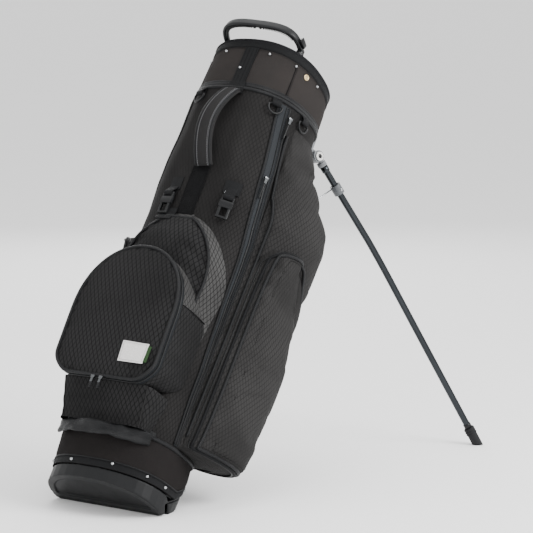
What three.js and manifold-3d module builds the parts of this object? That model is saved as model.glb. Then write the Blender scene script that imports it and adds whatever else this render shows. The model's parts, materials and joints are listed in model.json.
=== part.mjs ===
// Golf stand bag, leaning on its two opened legs. Millimetres, +Z up.
//
// The bag group has its own frame: +Z runs along the bag from base to mouth, +X points to the
// spine and the legs, -X is the strap side and -Y is the right side. Its origin lies on the
// bag's axis just above the base. The ground frame's origin is under the fulcrum bar of the base.

import * as THREE from 'three';
import { mergeVertices } from 'three/addons/utils/BufferGeometryUtils.js';
import Module from 'manifold-3d';

const wasm = await Module();
wasm.setup();

// ---------------------------------------------------------------- driving dimensions
const LEAN = THREE.MathUtils.degToRad(35);
const GAP = 0.4;

const BAR_X = 12;
const BAR_Z = -52;
const BAR_RADIUS = 7;
const BASE_LENGTH = 240;

const PARTING_Z = -14;
const BAND_TOP = 58;
const BODY_BOTTOM = 65;
const BODY_TOP = 757;
const COLLAR_BOTTOM = 764.5;
const RIM_SLANT = Math.tan(THREE.MathUtils.degToRad(8));
const COLLAR_TOP = 836;
const RIM_BOTTOM = 848;
const RIM_TOP = 856;

const FABRIC = 2.5;
const RING_INSET = 14;
const DIVIDER = 4;

// Half-width, depth to the front and to the back, and squareness of each, from base to mouth.
const SECTIONS = [
  { z: -60, width: 121, front: 82, back: 78, frontPower: 2.2, backPower: 3.4 },
  { z: -14, width: 122, front: 87, back: 78, frontPower: 2.3, backPower: 3.4 },
  { z: 62, width: 123, front: 94, back: 85, frontPower: 2.7, backPower: 3.0 },
  { z: 300, width: 123, front: 100, back: 97, frontPower: 2.6, backPower: 2.6 },
  { z: 560, width: 122, front: 106, back: 104, frontPower: 2.5, backPower: 2.5 },
  { z: 760, width: 117, front: 110, back: 105, frontPower: 2.4, backPower: 2.4 },
  { z: 880, width: 113, front: 104, back: 102, frontPower: 2.4, backPower: 2.4 },
];
// The carry handle is turned a little about the bag's axis.
const HANDLE_TURN = 9;

const HINGE = new THREE.Vector3(133, -69, 755);
const LEG_LENGTH = 684;
const LEG_RADIUS = 6.5;
const LEG_OPEN_BACK = 0.8243;
const LEG_OPEN_OUT = 0.3006;
const LEG_BOW = 9;
const FOOT_LENGTH = 42;
const FOOT_RADIUS = 10;
const CLAMP_DISTANCE = 77;
const CLAMP_LENGTH = 20;
const WIRE_RADIUS = 1.6;
const WIRE_OFFSET = 13;

const ROD_RADIUS = 2.5;
const ROD_BOTTOM = new THREE.Vector3(93.3, 0, 26);
const ROD_TOP = new THREE.Vector3(118, 0, 561);

const FLAP_PIN_X = 13;
const FLAP_PIN_Z = 6;
const FLAP_PIN_RADIUS = 2;
const FLAP_BARREL = 5;
const FLAP_FLOOR = 5;
const FLAP_HEIGHT = 19.6;
const FLAP_TONGUE_END = 104;

const UPPER_POCKET = { bottom: 142, top: 484, half: 104, depth: 22 };
// The lower pocket's front, as [height, x of its face, half-width]; an arch closes the top.
const LOWER_POCKET = {
  face: 134,
  top: 391,
  crown: 8,
  profile: [
    [68, -106, 96], [100, -124, 100], [126, -133, 102], [133, -136, 102],
    [134, -150, 100], [152, -151, 112], [262, -156, 113], [391, -158, 113],
  ],
};

// How far the full pockets stand out at their widest, as [height, distance].
const GARMENT_POCKET = {
  from: 82,
  to: 152,
  profile: [
    [68, 34], [300, 60], [400, 70], [450, 78], [520, 82], [560, 76], [610, 51], [676, 23], [722, 4],
  ],
};
const SIDE_POCKET = {
  from: 84,
  to: 150,
  topTo: 106,
  profile: [[70, 70], [90, 82], [132, 88], [210, 92], [285, 93], [350, 88], [410, 82], [486, 80]],
};

// ---------------------------------------------------------------- the bag's surface
function section(z) {
  let i = 0;
  while (i < SECTIONS.length - 2 && z > SECTIONS[i + 1].z) i += 1;
  const low = SECTIONS[i];
  const high = SECTIONS[i + 1];
  const t = THREE.MathUtils.clamp((z - low.z) / (high.z - low.z), 0, 1);
  const mixed = {};
  for (const key of Object.keys(low)) mixed[key] = THREE.MathUtils.lerp(low[key], high[key], t);
  return mixed;
}

// A point on the bag: degrees round from the front over the right side, height, distance outside.
function onBag(degrees, z, out = 0) {
  const s = section(z);
  const angle = THREE.MathUtils.degToRad(degrees);
  const cos = Math.cos(angle);
  const sin = Math.sin(angle);
  const depth = cos > 0 ? s.front : s.back;
  const power = cos > 0 ? s.frontPower : s.backPower;
  const x = -Math.sign(cos) * (depth + out) * Math.abs(cos) ** (2 / power);
  const y = -Math.sign(sin) * (s.width + out) * Math.abs(sin) ** (2 / power);
  return new THREE.Vector3(x, y, z);
}

// The x of the front surface above a given y.
function frontX(y, z, out = 0) {
  const s = section(z);
  const across = Math.min(Math.abs(y) / (s.width + out), 1);
  return -(s.front + out) * (1 - across ** s.frontPower) ** (1 / s.frontPower);
}

function backX(y, z, out = 0) {
  const s = section(z);
  const across = Math.min(Math.abs(y) / (s.width + out), 1);
  return (s.back + out) * (1 - across ** s.backPower) ** (1 / s.backPower);
}

// Degrees round the front at which the surface has this y.
function degreesAtY(y, z) {
  const s = section(z);
  const sine = (Math.abs(y) / s.width) ** (s.frontPower / 2);
  return -Math.sign(y) * THREE.MathUtils.radToDeg(Math.asin(Math.min(sine, 1)));
}

// Ground frame to bag frame, in the plane of symmetry.
function barInGround() {
  const x = BAR_X * Math.cos(LEAN) + BAR_Z * Math.sin(LEAN);
  const z = -BAR_X * Math.sin(LEAN) + BAR_Z * Math.cos(LEAN);
  return new THREE.Vector2(-x, -z);
}
const BAG_ORIGIN = barInGround();

function fromGround(x, z) {
  const dx = x - BAG_ORIGIN.x;
  const dz = z - BAG_ORIGIN.y;
  return new THREE.Vector2(
    dx * Math.cos(LEAN) - dz * Math.sin(LEAN),
    dx * Math.sin(LEAN) + dz * Math.cos(LEAN),
  );
}

// ---------------------------------------------------------------- solids from grids
function signedVolume(positions, index) {
  const a = new THREE.Vector3();
  const b = new THREE.Vector3();
  const c = new THREE.Vector3();
  let volume = 0;
  for (let i = 0; i < index.length; i += 3) {
    a.fromArray(positions, 3 * index[i]);
    b.fromArray(positions, 3 * index[i + 1]);
    c.fromArray(positions, 3 * index[i + 2]);
    volume += a.dot(b.cross(c)) / 6;
  }
  return volume;
}

function solid(points, index) {
  const positions = points.flatMap((p) => [p.x, p.y, p.z]);
  if (signedVolume(positions, index) < 0) {
    for (let i = 0; i < index.length; i += 3) {
      [index[i], index[i + 1]] = [index[i + 1], index[i]];
    }
  }
  const geometry = new THREE.BufferGeometry();
  geometry.setAttribute('position', new THREE.Float32BufferAttribute(positions, 3));
  geometry.setIndex(index);
  return geometry;
}

// A closed plate between two surfaces, each given as a point for (u, v) from 0 to 1.
function plate(uSteps, vSteps, outer, inner) {
  const points = [];
  for (const surface of [outer, inner]) {
    for (let j = 0; j <= vSteps; j += 1) {
      for (let i = 0; i <= uSteps; i += 1) points.push(surface(i / uSteps, j / vSteps));
    }
  }
  const count = (uSteps + 1) * (vSteps + 1);
  const at = (i, j, side) => side * count + j * (uSteps + 1) + i;
  const index = [];
  const quad = (a, b, c, d) => index.push(a, b, c, a, c, d);
  for (let j = 0; j < vSteps; j += 1) {
    for (let i = 0; i < uSteps; i += 1) {
      quad(at(i, j, 0), at(i + 1, j, 0), at(i + 1, j + 1, 0), at(i, j + 1, 0));
      quad(at(i, j, 1), at(i, j + 1, 1), at(i + 1, j + 1, 1), at(i + 1, j, 1));
    }
  }
  for (let i = 0; i < uSteps; i += 1) {
    quad(at(i, 0, 0), at(i, 0, 1), at(i + 1, 0, 1), at(i + 1, 0, 0));
    quad(at(i, vSteps, 0), at(i + 1, vSteps, 0), at(i + 1, vSteps, 1), at(i, vSteps, 1));
  }
  for (let j = 0; j < vSteps; j += 1) {
    quad(at(0, j, 0), at(0, j + 1, 0), at(0, j + 1, 1), at(0, j, 1));
    quad(at(uSteps, j, 0), at(uSteps, j, 1), at(uSteps, j + 1, 1), at(uSteps, j + 1, 0));
  }
  return solid(points, index);
}

// A closed wall round the bag, from a list of corners in (height, distance outside).
function ringWall(corners, segments = 36) {
  const points = [];
  for (const corner of corners) {
    for (let i = 0; i < segments; i += 1) {
      const degrees = (360 * i) / segments;
      const z = typeof corner.z === 'function' ? corner.z(degrees) : corner.z;
      points.push(onBag(degrees, z, corner.out));
    }
  }
  const index = [];
  corners.forEach((_, j) => {
    const next = (j + 1) % corners.length;
    for (let i = 0; i < segments; i += 1) {
      const k = (i + 1) % segments;
      const [a, b] = [j * segments + i, j * segments + k];
      const [c, d] = [next * segments + k, next * segments + i];
      index.push(a, b, c, a, c, d);
    }
  });
  return solid(points, index);
}

// Wall corners for a sleeve with straight or curved sides between two heights.
function sleeve(bottom, top, inner, outer, rows = 1) {
  const heights = Array.from({ length: rows + 1 }, (_, i) => i / rows);
  const height = (t) => (degrees) => {
    const low = typeof bottom === 'function' ? bottom(degrees) : bottom;
    const high = typeof top === 'function' ? top(degrees) : top;
    return THREE.MathUtils.lerp(low, high, t);
  };
  const outside = heights.map((t) => ({ z: height(t), out: outer }));
  const inside = heights.toReversed().map((t) => ({ z: height(t), out: inner }));
  return ringWall([...outside, ...inside]);
}

// ---------------------------------------------------------------- joining and cutting
function toManifold(geometry) {
  const bare = geometry.clone();
  bare.deleteAttribute('normal');
  bare.deleteAttribute('uv');
  const merged = mergeVertices(bare, 1e-4);
  const mesh = new wasm.Mesh({
    numProp: 3,
    vertProperties: new Float32Array(merged.attributes.position.array),
    triVerts: new Uint32Array(merged.index.array),
  });
  return new wasm.Manifold(mesh);
}

function fromManifold(body) {
  const mesh = body.getMesh();
  const geometry = new THREE.BufferGeometry();
  geometry.setAttribute('position', new THREE.BufferAttribute(mesh.vertProperties, 3));
  geometry.setIndex(new THREE.BufferAttribute(mesh.triVerts, 1));
  return geometry;
}

function joined(...geometries) {
  return fromManifold(geometries.map(toManifold).reduce((a, b) => a.add(b)));
}

function cut(geometry, ...tools) {
  return fromManifold(tools.map(toManifold).reduce((a, b) => a.subtract(b), toManifold(geometry)));
}

function common(a, b) {
  return fromManifold(toManifold(a).intersect(toManifold(b)));
}

// ---------------------------------------------------------------- plain shapes
function box(width, depth, height, x = 0, y = 0, z = 0) {
  return new THREE.BoxGeometry(width, depth, height).translate(x, y, z);
}

function cylinderBetween(from, to, radius, sides = 16) {
  const length = from.distanceTo(to);
  const axis = new THREE.Vector3().subVectors(to, from).normalize();
  const turn = new THREE.Quaternion().setFromUnitVectors(new THREE.Vector3(0, 1, 0), axis);
  const middle = new THREE.Vector3().addVectors(from, to).multiplyScalar(0.5);
  return new THREE.CylinderGeometry(radius, radius, length, sides)
    .applyQuaternion(turn)
    .translate(middle.x, middle.y, middle.z);
}

// A prism across the bag whose outline lies in the plane of symmetry.
function acrossBag(outline, width = 320) {
  const shape = new THREE.Shape(outline);
  return new THREE.ExtrudeGeometry(shape, { depth: width, bevelEnabled: false })
    .rotateX(Math.PI / 2)
    .translate(0, width / 2, 0);
}

// A prism along the bag whose outline is the base's own.
function alongBase(out, from = -70, to = 60) {
  const count = 36;
  const outline = Array.from({ length: count }, (_, i) => {
    const p = onBag((-360 * i) / count, PARTING_Z, out);
    return new THREE.Vector2(p.x, p.y);
  });
  return new THREE.ExtrudeGeometry(new THREE.Shape(outline), { depth: to - from, bevelEnabled: false })
    .translate(0, 0, from);
}

function roundTube(points, radius, steps, sides = 10) {
  const shape = new THREE.Shape();
  shape.absarc(0, 0, radius, 0, 2 * Math.PI, false);
  const path = new THREE.CatmullRomCurve3(points);
  const options = { steps, curveSegments: sides / 2, bevelEnabled: false, extrudePath: path };
  return new THREE.ExtrudeGeometry(shape, options);
}

// ---------------------------------------------------------------- scene helpers
const group = new THREE.Group();
const bag = new THREE.Group();
bag.rotation.y = LEAN;
bag.position.set(BAG_ORIGIN.x, 0, BAG_ORIGIN.y);
group.add(bag);

const FINISHES = {
  ripstop: { color: 0x2b2a2d, roughness: 0.85, metalness: 0 },
  collarCloth: { color: 0x39353a, roughness: 0.85, metalness: 0 },
  webbing: { color: 0x17171a, roughness: 0.8, metalness: 0 },
  mouldedBlack: { color: 0x1d1f22, roughness: 0.5, metalness: 0 },
  mouldedGrey: { color: 0x5b5d61, roughness: 0.45, metalness: 0 },
  mouldedPale: { color: 0xa9abae, roughness: 0.4, metalness: 0 },
  darkAluminium: { color: 0x3c3f43, roughness: 0.25, metalness: 1 },
  aluminium: { color: 0xb8babd, roughness: 0.35, metalness: 1 },
  steel: { color: 0x9a9ca0, roughness: 0.3, metalness: 1 },
  brass: { color: 0xb08d4f, roughness: 0.35, metalness: 1 },
  rubber: { color: 0x141415, roughness: 0.9, metalness: 0 },
  patch: { color: 0xdcdcd8, roughness: 0.9, metalness: 0 },
};

function add(name, geometry, finish, parent = bag) {
  const mesh = new THREE.Mesh(geometry, new THREE.MeshStandardMaterial(FINISHES[finish]));
  mesh.name = name;
  parent.add(mesh);
  return mesh;
}

// ---------------------------------------------------------------- base
const UNDERSIDE_RISE = 17;
const CUP_WALL = 5;
const UPSTAND_TOP = 40;
const PLATE_LOW = 20.5;
const PLATE_HIGH = 24;
const BEHIND = 120;

function baseCup() {
  const w = fromGround;
  const frontX0 = -100;
  const shellOutline = [
    new THREE.Vector2(frontX0, PARTING_Z),
    new THREE.Vector2(frontX0, BAR_Z + UNDERSIDE_RISE),
    w(-4, 2.6),
    w(BAR_RADIUS, 2.6),
    w(BAR_RADIUS, PLATE_LOW),
    w(BEHIND, PLATE_LOW),
    w(BEHIND, PLATE_HIGH),
    w(15, PLATE_HIGH),
    new THREE.Vector2(0, PARTING_Z - 2),
  ];
  const hollowOutline = [
    new THREE.Vector2(frontX0, UPSTAND_TOP + 20),
    new THREE.Vector2(frontX0, BAR_Z + UNDERSIDE_RISE + CUP_WALL),
    w(-4, 2.6 + CUP_WALL + 2),
    w(BAR_RADIUS - 4, 2.6 + CUP_WALL + 3),
    w(BAR_RADIUS - 4, PLATE_HIGH),
    w(BEHIND, PLATE_HIGH),
    new THREE.Vector2(BEHIND, UPSTAND_TOP + 20),
  ];
  const recessOutline = [
    new THREE.Vector2(frontX0, BAR_Z + UNDERSIDE_RISE + 2.5),
    new THREE.Vector2(frontX0, BAR_Z - 20),
    new THREE.Vector2(-8, BAR_Z - 20),
    new THREE.Vector2(-8, BAR_Z + 5.2),
  ];
  const outer = common(alongBase(0), acrossBag(shellOutline));
  const wallOutside = -FABRIC - 1;
  const wallFoot = (degrees) => bandBottom(degrees) - 3.5;
  const upstand = sleeve(wallFoot, UPSTAND_TOP, wallOutside - CUP_WALL, wallOutside, 2);
  const hollow = common(alongBase(-FABRIC - 1 - CUP_WALL), acrossBag(hollowOutline));
  const recess = common(alongBase(-13), acrossBag(recessOutline));
  const barMiddle = w(0, BAR_RADIUS);
  const end = (BASE_LENGTH - 10) / 2;
  const bar = cylinderBetween(
    new THREE.Vector3(barMiddle.x, -end, barMiddle.y),
    new THREE.Vector3(barMiddle.x, end, barMiddle.y),
    BAR_RADIUS,
    20,
  );
  const pin = w(FLAP_PIN_X, FLAP_PIN_Z);
  let cup = joined(cut(outer, hollow, recess), upstand, bar);
  for (const y of [-104, 0, 104]) {
    const half = 8;
    const barrel = cylinderBetween(
      new THREE.Vector3(pin.x, y - half, pin.y),
      new THREE.Vector3(pin.x, y + half, pin.y),
      FLAP_BARREL,
      12,
    );
    const web = acrossBag([w(2, 4), w(FLAP_PIN_X, 1.6), w(FLAP_PIN_X, 10.4), w(2, 12)], 2 * half)
      .translate(0, y, 0);
    cup = joined(cup, barrel, web);
  }
  const bore = cylinderBetween(
    new THREE.Vector3(pin.x, -130, pin.y),
    new THREE.Vector3(pin.x, 130, pin.y),
    FLAP_PIN_RADIUS + GAP,
    12,
  );
  return cut(cup, bore);
}

function baseFlap() {
  const w = fromGround;
  const outline = [w(FLAP_PIN_X + 2, 0), w(BEHIND, 0), w(BEHIND, FLAP_HEIGHT), w(FLAP_PIN_X + 2, FLAP_HEIGHT)];
  const room = [w(10, FLAP_FLOOR), w(BEHIND, FLAP_FLOOR), w(BEHIND, 40), w(10, 40)];
  const tray = cut(
    common(alongBase(0), acrossBag(outline)),
    common(alongBase(-4), acrossBag(room)),
  );
  const pin = w(FLAP_PIN_X, FLAP_PIN_Z);
  const tongue = acrossBag(
    [w(60, 0), w(FLAP_TONGUE_END, 0), w(FLAP_TONGUE_END, FLAP_FLOOR), w(60, FLAP_FLOOR)],
    26,
  );
  const rootWeb = acrossBag(
    [w(FLAP_PIN_X, 1.2), w(FLAP_PIN_X + 6, 0), w(FLAP_PIN_X + 6, FLAP_FLOOR), w(FLAP_PIN_X, 10)],
    190,
  );
  let flap = joined(tray, tongue, rootWeb);
  for (const y of [-53, 53]) {
    const barrel = cylinderBetween(
      new THREE.Vector3(pin.x, y - 42, pin.y),
      new THREE.Vector3(pin.x, y + 42, pin.y),
      FLAP_BARREL,
      12,
    );
    flap = joined(flap, barrel);
  }
  const rooms = [-104, 0, 104].map((y) => {
    const reach = FLAP_BARREL + 1;
    return cylinderBetween(
      new THREE.Vector3(pin.x, y - 9.5, pin.y),
      new THREE.Vector3(pin.x, y + 9.5, pin.y),
      reach,
      12,
    );
  });
  const bore = cylinderBetween(
    new THREE.Vector3(pin.x, -130, pin.y),
    new THREE.Vector3(pin.x, 130, pin.y),
    FLAP_PIN_RADIUS + GAP,
    12,
  );
  return cut(flap, bore, ...rooms);
}

function flapPin() {
  const pin = fromGround(FLAP_PIN_X, FLAP_PIN_Z);
  return cylinderBetween(
    new THREE.Vector3(pin.x, -111, pin.y),
    new THREE.Vector3(pin.x, 111, pin.y),
    FLAP_PIN_RADIUS,
    12,
  );
}

// The band's lower edge follows the cup at the front and stays above the flap at the back.
function bandBottom(degrees) {
  const x = onBag(degrees, 0).x;
  const aboveFlap = (PLATE_HIGH + 1 - BAG_ORIGIN.y + x * Math.sin(LEAN)) / Math.cos(LEAN);
  return Math.max(PARTING_Z + GAP, aboveFlap);
}

// The webbing handle across the front of the base stands off in a shallow bow.
function baseHandle() {
  const half = 104;
  const height = 24;
  const middle = 50;
  const bow = (u, v, out) => {
    const y = half * (1 - 2 * u);
    const z = middle + height * (v - 0.5) + 6 * Math.abs(1 - 2 * u) ** 2;
    const standOff = 16 * Math.cos(Math.PI * (u - 0.5)) ** 2;
    return new THREE.Vector3(frontX(y, z, 6 + out) - standOff, y, z);
  };
  return plate(16, 1, (u, v) => bow(u, v, 3), (u, v) => bow(u, v, 0));
}

add('base_cup', baseCup(), 'mouldedBlack');
add('base_flap', baseFlap(), 'mouldedBlack');
add('flap_pin', flapPin(), 'steel');
add('base_band', sleeve(bandBottom, BAND_TOP, -FABRIC, 0, 2), 'collarCloth');
add('base_piping', sleeve(BAND_TOP + GAP, BODY_BOTTOM - GAP, -FABRIC, 4), 'webbing');
add('base_handle', baseHandle(), 'webbing');

// ---------------------------------------------------------------- body and collar
function slanted(z) {
  return (degrees) => z - onBag(degrees, z).x * RIM_SLANT;
}

function rimPad() {
  const corners = [
    { z: slanted(RIM_BOTTOM + GAP), out: 2 },
    { z: slanted(RIM_BOTTOM + 6), out: 3.5 },
    { z: slanted(RIM_TOP), out: -4 },
    { z: slanted(RIM_TOP - 2), out: -11 },
    { z: slanted(RIM_BOTTOM - 6), out: -12.5 },
    { z: slanted(RIM_BOTTOM + GAP), out: -6 },
  ];
  return ringWall(corners);
}

// The moulded ring holds the collar round and carries a crossed divider.
function topRing() {
  const bottom = COLLAR_BOTTOM + 4;
  const ring = sleeve(bottom, slanted(RIM_BOTTOM - 8), -RING_INSET, -FABRIC - 1);
  const barDepth = 26;
  const level = COLLAR_TOP - 22;
  const lengthwise = box(2 * 100, 9, barDepth, -2, 0, level);
  const crosswise = box(9, 2 * 108, barDepth, -2, 0, level);
  const bars = cut(joined(lengthwise, crosswise), sleeve(700, 900, -RING_INSET + 1, 60));
  return joined(ring, bars);
}

function stay(from, to, width, depth) {
  const middle = new THREE.Vector3().addVectors(from, to).multiplyScalar(0.5);
  const axis = new THREE.Vector3().subVectors(to, from);
  const turn = new THREE.Quaternion().setFromUnitVectors(
    new THREE.Vector3(0, 0, 1),
    axis.clone().normalize(),
  );
  return new THREE.BoxGeometry(depth, width, axis.length())
    .applyQuaternion(turn)
    .translate(middle.x, middle.y, middle.z);
}

// Full-length fabric walls below the crossed divider.
const PANEL_TOP = COLLAR_TOP - 36;
const PANEL_BOTTOM = 44;

function lengthwisePanel() {
  const edge = (u, v, side) => {
    const z = THREE.MathUtils.lerp(PANEL_BOTTOM, PANEL_TOP, v);
    const front = frontX(0, z, -20);
    const back = backX(0, z, -32);
    return new THREE.Vector3(THREE.MathUtils.lerp(front, back, u), (side * DIVIDER) / 2, z);
  };
  return plate(1, 4, (u, v) => edge(u, v, 1), (u, v) => edge(u, v, -1));
}

function crosswisePanel(side) {
  const edge = (u, v, face) => {
    const z = THREE.MathUtils.lerp(PANEL_BOTTOM, PANEL_TOP, v);
    const reach = section(z).width - 24;
    return new THREE.Vector3(
      -2 + (face * DIVIDER) / 2,
      side * THREE.MathUtils.lerp(DIVIDER / 2 + GAP, reach, u),
      z,
    );
  };
  return plate(1, 4, (u, v) => edge(u, v, 1), (u, v) => edge(u, v, -1));
}

add('body_shell', sleeve(BODY_BOTTOM, BODY_TOP, -FABRIC, 0, 4), 'ripstop');
add('collar_piping', sleeve(BODY_TOP + GAP, COLLAR_BOTTOM - GAP, -FABRIC, 3.5), 'webbing');
add('collar_cover', sleeve(COLLAR_BOTTOM, slanted(COLLAR_TOP), -FABRIC, 0, 1), 'collarCloth');
add('rim_binding', sleeve(slanted(COLLAR_TOP + GAP), slanted(RIM_BOTTOM), -FABRIC, 1.5), 'webbing');
add('rim_pad', rimPad(), 'webbing');
add('top_ring', topRing(), 'mouldedBlack');
add('divider_lengthwise', lengthwisePanel(), 'ripstop');
add('divider_right', crosswisePanel(-1), 'ripstop');
add('divider_left', crosswisePanel(1), 'ripstop');

const STAY_TOP = COLLAR_BOTTOM + 3;
const STAY_BOTTOM = UPSTAND_TOP + GAP;
const spineFrom = new THREE.Vector3(backX(0, STAY_BOTTOM) - 11, 0, STAY_BOTTOM);
const spineTo = new THREE.Vector3(backX(0, STAY_TOP) - 11, 0, STAY_TOP);
add('spine_stay', stay(spineFrom, spineTo, 22, 4), 'aluminium');
for (const [name, side] of [['right', -1], ['left', 1]]) {
  const low = section(STAY_BOTTOM).width - 11;
  const high = section(STAY_TOP).width - 11;
  const from = new THREE.Vector3(0, side * low, STAY_BOTTOM);
  const to = new THREE.Vector3(0, side * high, STAY_TOP);
  add(`side_stay_${name}`, stay(from, to, 4, 12), 'aluminium');
}

// ---------------------------------------------------------------- carry handle over the mouth
const HANDLE_RISE = 22;
const HANDLE_REACH = 60;
const HANDLE_FOOT = new THREE.Vector3(-66, 85, 874.5);

// t runs from foot to foot; inset moves in towards the hand, across the grip's thickness.
function handlePoint(t, inset, sideways) {
  const angle = Math.PI * t;
  const cos = Math.cos(angle);
  const lift = Math.sin(angle) ** 0.6;
  const half = HANDLE_FOOT.y - inset;
  const lean = Math.atan2(HANDLE_REACH, HANDLE_RISE);
  const reach = (Math.hypot(HANDLE_REACH, HANDLE_RISE) - inset) * lift;
  const y = half * Math.sign(cos) * Math.abs(cos) ** 0.62;
  const edge = sideways * (0.5 + 0.5 * lift);
  const x = HANDLE_FOOT.x - reach * Math.sin(lean) + edge * Math.cos(lean);
  const z = HANDLE_FOOT.z + reach * Math.cos(lean) + edge * Math.sin(lean);
  const turn = THREE.MathUtils.degToRad(HANDLE_TURN);
  return new THREE.Vector3(
    x * Math.cos(turn) - y * Math.sin(turn),
    x * Math.sin(turn) + y * Math.cos(turn),
    z,
  );
}

function carryHandle() {
  const thickness = 13;
  const halfDepth = 10;
  const outer = (u, v) => handlePoint(u, 0, halfDepth * (2 * v - 1));
  const inner = (u, v) => handlePoint(u, thickness, (halfDepth - 2) * (2 * v - 1));
  return plate(24, 1, outer, inner);
}

// A small clip lies against the outside of the handle's right foot.
function handleClip() {
  const from = 0.9;
  const to = 0.975;
  const point = (u, v, inset) => handlePoint(THREE.MathUtils.lerp(from, to, u), inset, 16 * v - 8);
  return plate(3, 1, (u, v) => point(u, v, -7), (u, v) => point(u, v, -1));
}

add('carry_handle', carryHandle(), 'mouldedGrey');
add('handle_clip', handleClip(), 'mouldedBlack');

// ---------------------------------------------------------------- pockets
function archHalf(z, pocket, roundFrom) {
  if (z < roundFrom) return pocket.half;
  const t = Math.min((z - roundFrom) / (pocket.top - roundFrom), 1);
  return pocket.half * (1 - t ** 2.2) ** (1 / 2);
}

// Height for v from 0 to 1, with finer steps towards an arched top.
function towardsTop(pocket, v) {
  return THREE.MathUtils.lerp(pocket.bottom, pocket.top - 1.5, Math.sin((v * Math.PI) / 2));
}

function upperDepth(z) {
  const nearTop = 1 - THREE.MathUtils.smoothstep(z, UPPER_POCKET.top - 60, UPPER_POCKET.top + 12);
  return (UPPER_POCKET.depth - 4) * (0.35 + 0.65 * nearTop);
}

function upperPocket() {
  const point = (u, v, out) => {
    const z = towardsTop(UPPER_POCKET, v);
    const half = Math.max(archHalf(z, UPPER_POCKET, 330), 8);
    const y = half * (1 - 2 * u) - 12 * THREE.MathUtils.smoothstep(z, 200, 480);
    return onBag(degreesAtY(y, z), z, out);
  };
  const edge = (u) => Math.min(1, 6 * Math.min(u, 1 - u) + 0.25);
  const outer = (u, v) => point(u, v, 4 + upperDepth(towardsTop(UPPER_POCKET, v)) * edge(u));
  return plate(12, 9, outer, (u, v) => point(u, v, 2.2));
}

function lowerPocket() {
  const { profile, crown } = LOWER_POCKET;
  const faceOf = profile.map(([z, face]) => [z, face]);
  const halfOf = profile.map(([z, , half]) => [z, half]);
  const arch = (z) => Math.sqrt(1 - THREE.MathUtils.clamp((z - 262) / 130, 0, 1) ** 2.2);
  const heights = [...profile.slice(0, -1).map(([z]) => z), 300, 330, 355, 374, 386, 390];
  const heightAt = (v) => heights[Math.round(v * (heights.length - 1))];
  const outer = (u, v) => {
    const z = heightAt(v);
    const bulge = crown * (1 - (1 - 2 * u) ** 2) * Math.sin(Math.PI * v);
    return new THREE.Vector3(
      alongProfile(faceOf, z) - bulge,
      alongProfile(halfOf, z) * arch(z) * (1 - 2 * u),
      z,
    );
  };
  const inner = (u, v) => {
    const z = heightAt(v);
    const y = (alongProfile(halfOf, z) * arch(z) - 0.5) * (1 - 2 * u);
    const backing = z > LOWER_POCKET.face - 3 ? UPPER_POCKET.depth + 5 : 2.4;
    return new THREE.Vector3(frontX(y, z, backing), y, z);
  };
  return plate(10, heights.length - 1, outer, inner);
}

function alongProfile(profile, z) {
  let i = 0;
  while (i < profile.length - 2 && z > profile[i + 1][0]) i += 1;
  const [[z0, d0], [z1, d1]] = [profile[i], profile[i + 1]];
  return THREE.MathUtils.lerp(d0, d1, THREE.MathUtils.clamp((z - z0) / (z1 - z0), 0, 1));
}

// From 0 at a pocket's edges to 1 at its middle.
function round(u) {
  return Math.sin(Math.PI * THREE.MathUtils.clamp(u, 0, 1)) ** 0.8;
}

function garmentDepth(degrees, z) {
  const { from, to, profile } = GARMENT_POCKET;
  const edge = 3;
  return edge + (alongProfile(profile, z) - edge) * round((degrees - from) / (to - from));
}

function garmentPocket(side) {
  const { from, to, profile } = GARMENT_POCKET;
  const heights = [150, 225].concat(profile.map(([z]) => z)).sort((a, b) => a - b);
  const point = (u, v, out) => {
    const degrees = THREE.MathUtils.lerp(from, to, u);
    const z = heights[Math.round(v * (heights.length - 1))];
    return onBag(side * degrees, z, out(degrees, z));
  };
  const rows = heights.length - 1;
  return plate(8, rows, (u, v) => point(u, v, garmentDepth), (u, v) => point(u, v, () => 1.2));
}

// The side pocket lies on the garment pocket; its back edge comes forward towards the arched top.
function sidePocket(side) {
  const { from, to, topTo, profile } = SIDE_POCKET;
  const bottom = profile[0][0];
  const top = profile.at(-1)[0];
  const point = (u, v, depth) => {
    const arch = 1 - 0.14 * Math.max(0, Math.abs(u - 0.5) / 0.5) ** 4;
    const z = THREE.MathUtils.lerp(bottom, bottom + (top - bottom) * arch, v);
    const last = THREE.MathUtils.lerp(to, topTo, THREE.MathUtils.smoothstep(z, 230, 480));
    const degrees = THREE.MathUtils.lerp(from, last, u);
    return onBag(side * degrees, z, depth(u, degrees, z));
  };
  const under = (u, degrees, z) => garmentDepth(degrees, z) + 8;
  const over = (u, degrees, z) => {
    const outside = alongProfile(profile, z) * round(u) ** 0.7;
    return Math.max(garmentDepth(degrees, z) + 12, outside);
  };
  return plate(8, 10, (u, v) => point(u, v, over), (u, v) => point(u, v, under));
}

add('upper_front_pocket', upperPocket(), 'ripstop');
add('lower_front_pocket', lowerPocket(), 'ripstop');
for (const [name, side] of [['right', 1], ['left', -1]]) {
  add(`garment_pocket_${name}`, garmentPocket(side), 'ripstop');
  add(`side_pocket_${name}`, sidePocket(side), 'ripstop');
}

// ---------------------------------------------------------------- trims on the strap side
// A strip laid on the bag between two heights, centred a little round to the right.
function strip(width, from, to, low, high, centreY) {
  const point = (u, v, out) => {
    const z = THREE.MathUtils.lerp(from, to, v);
    const y = centreY + width * (0.5 - u);
    return onBag(degreesAtY(y, z), z, out);
  };
  return plate(2, 2, (u, v) => point(u, v, high), (u, v) => point(u, v, low));
}

const FRONT_LINE = -17;

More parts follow.
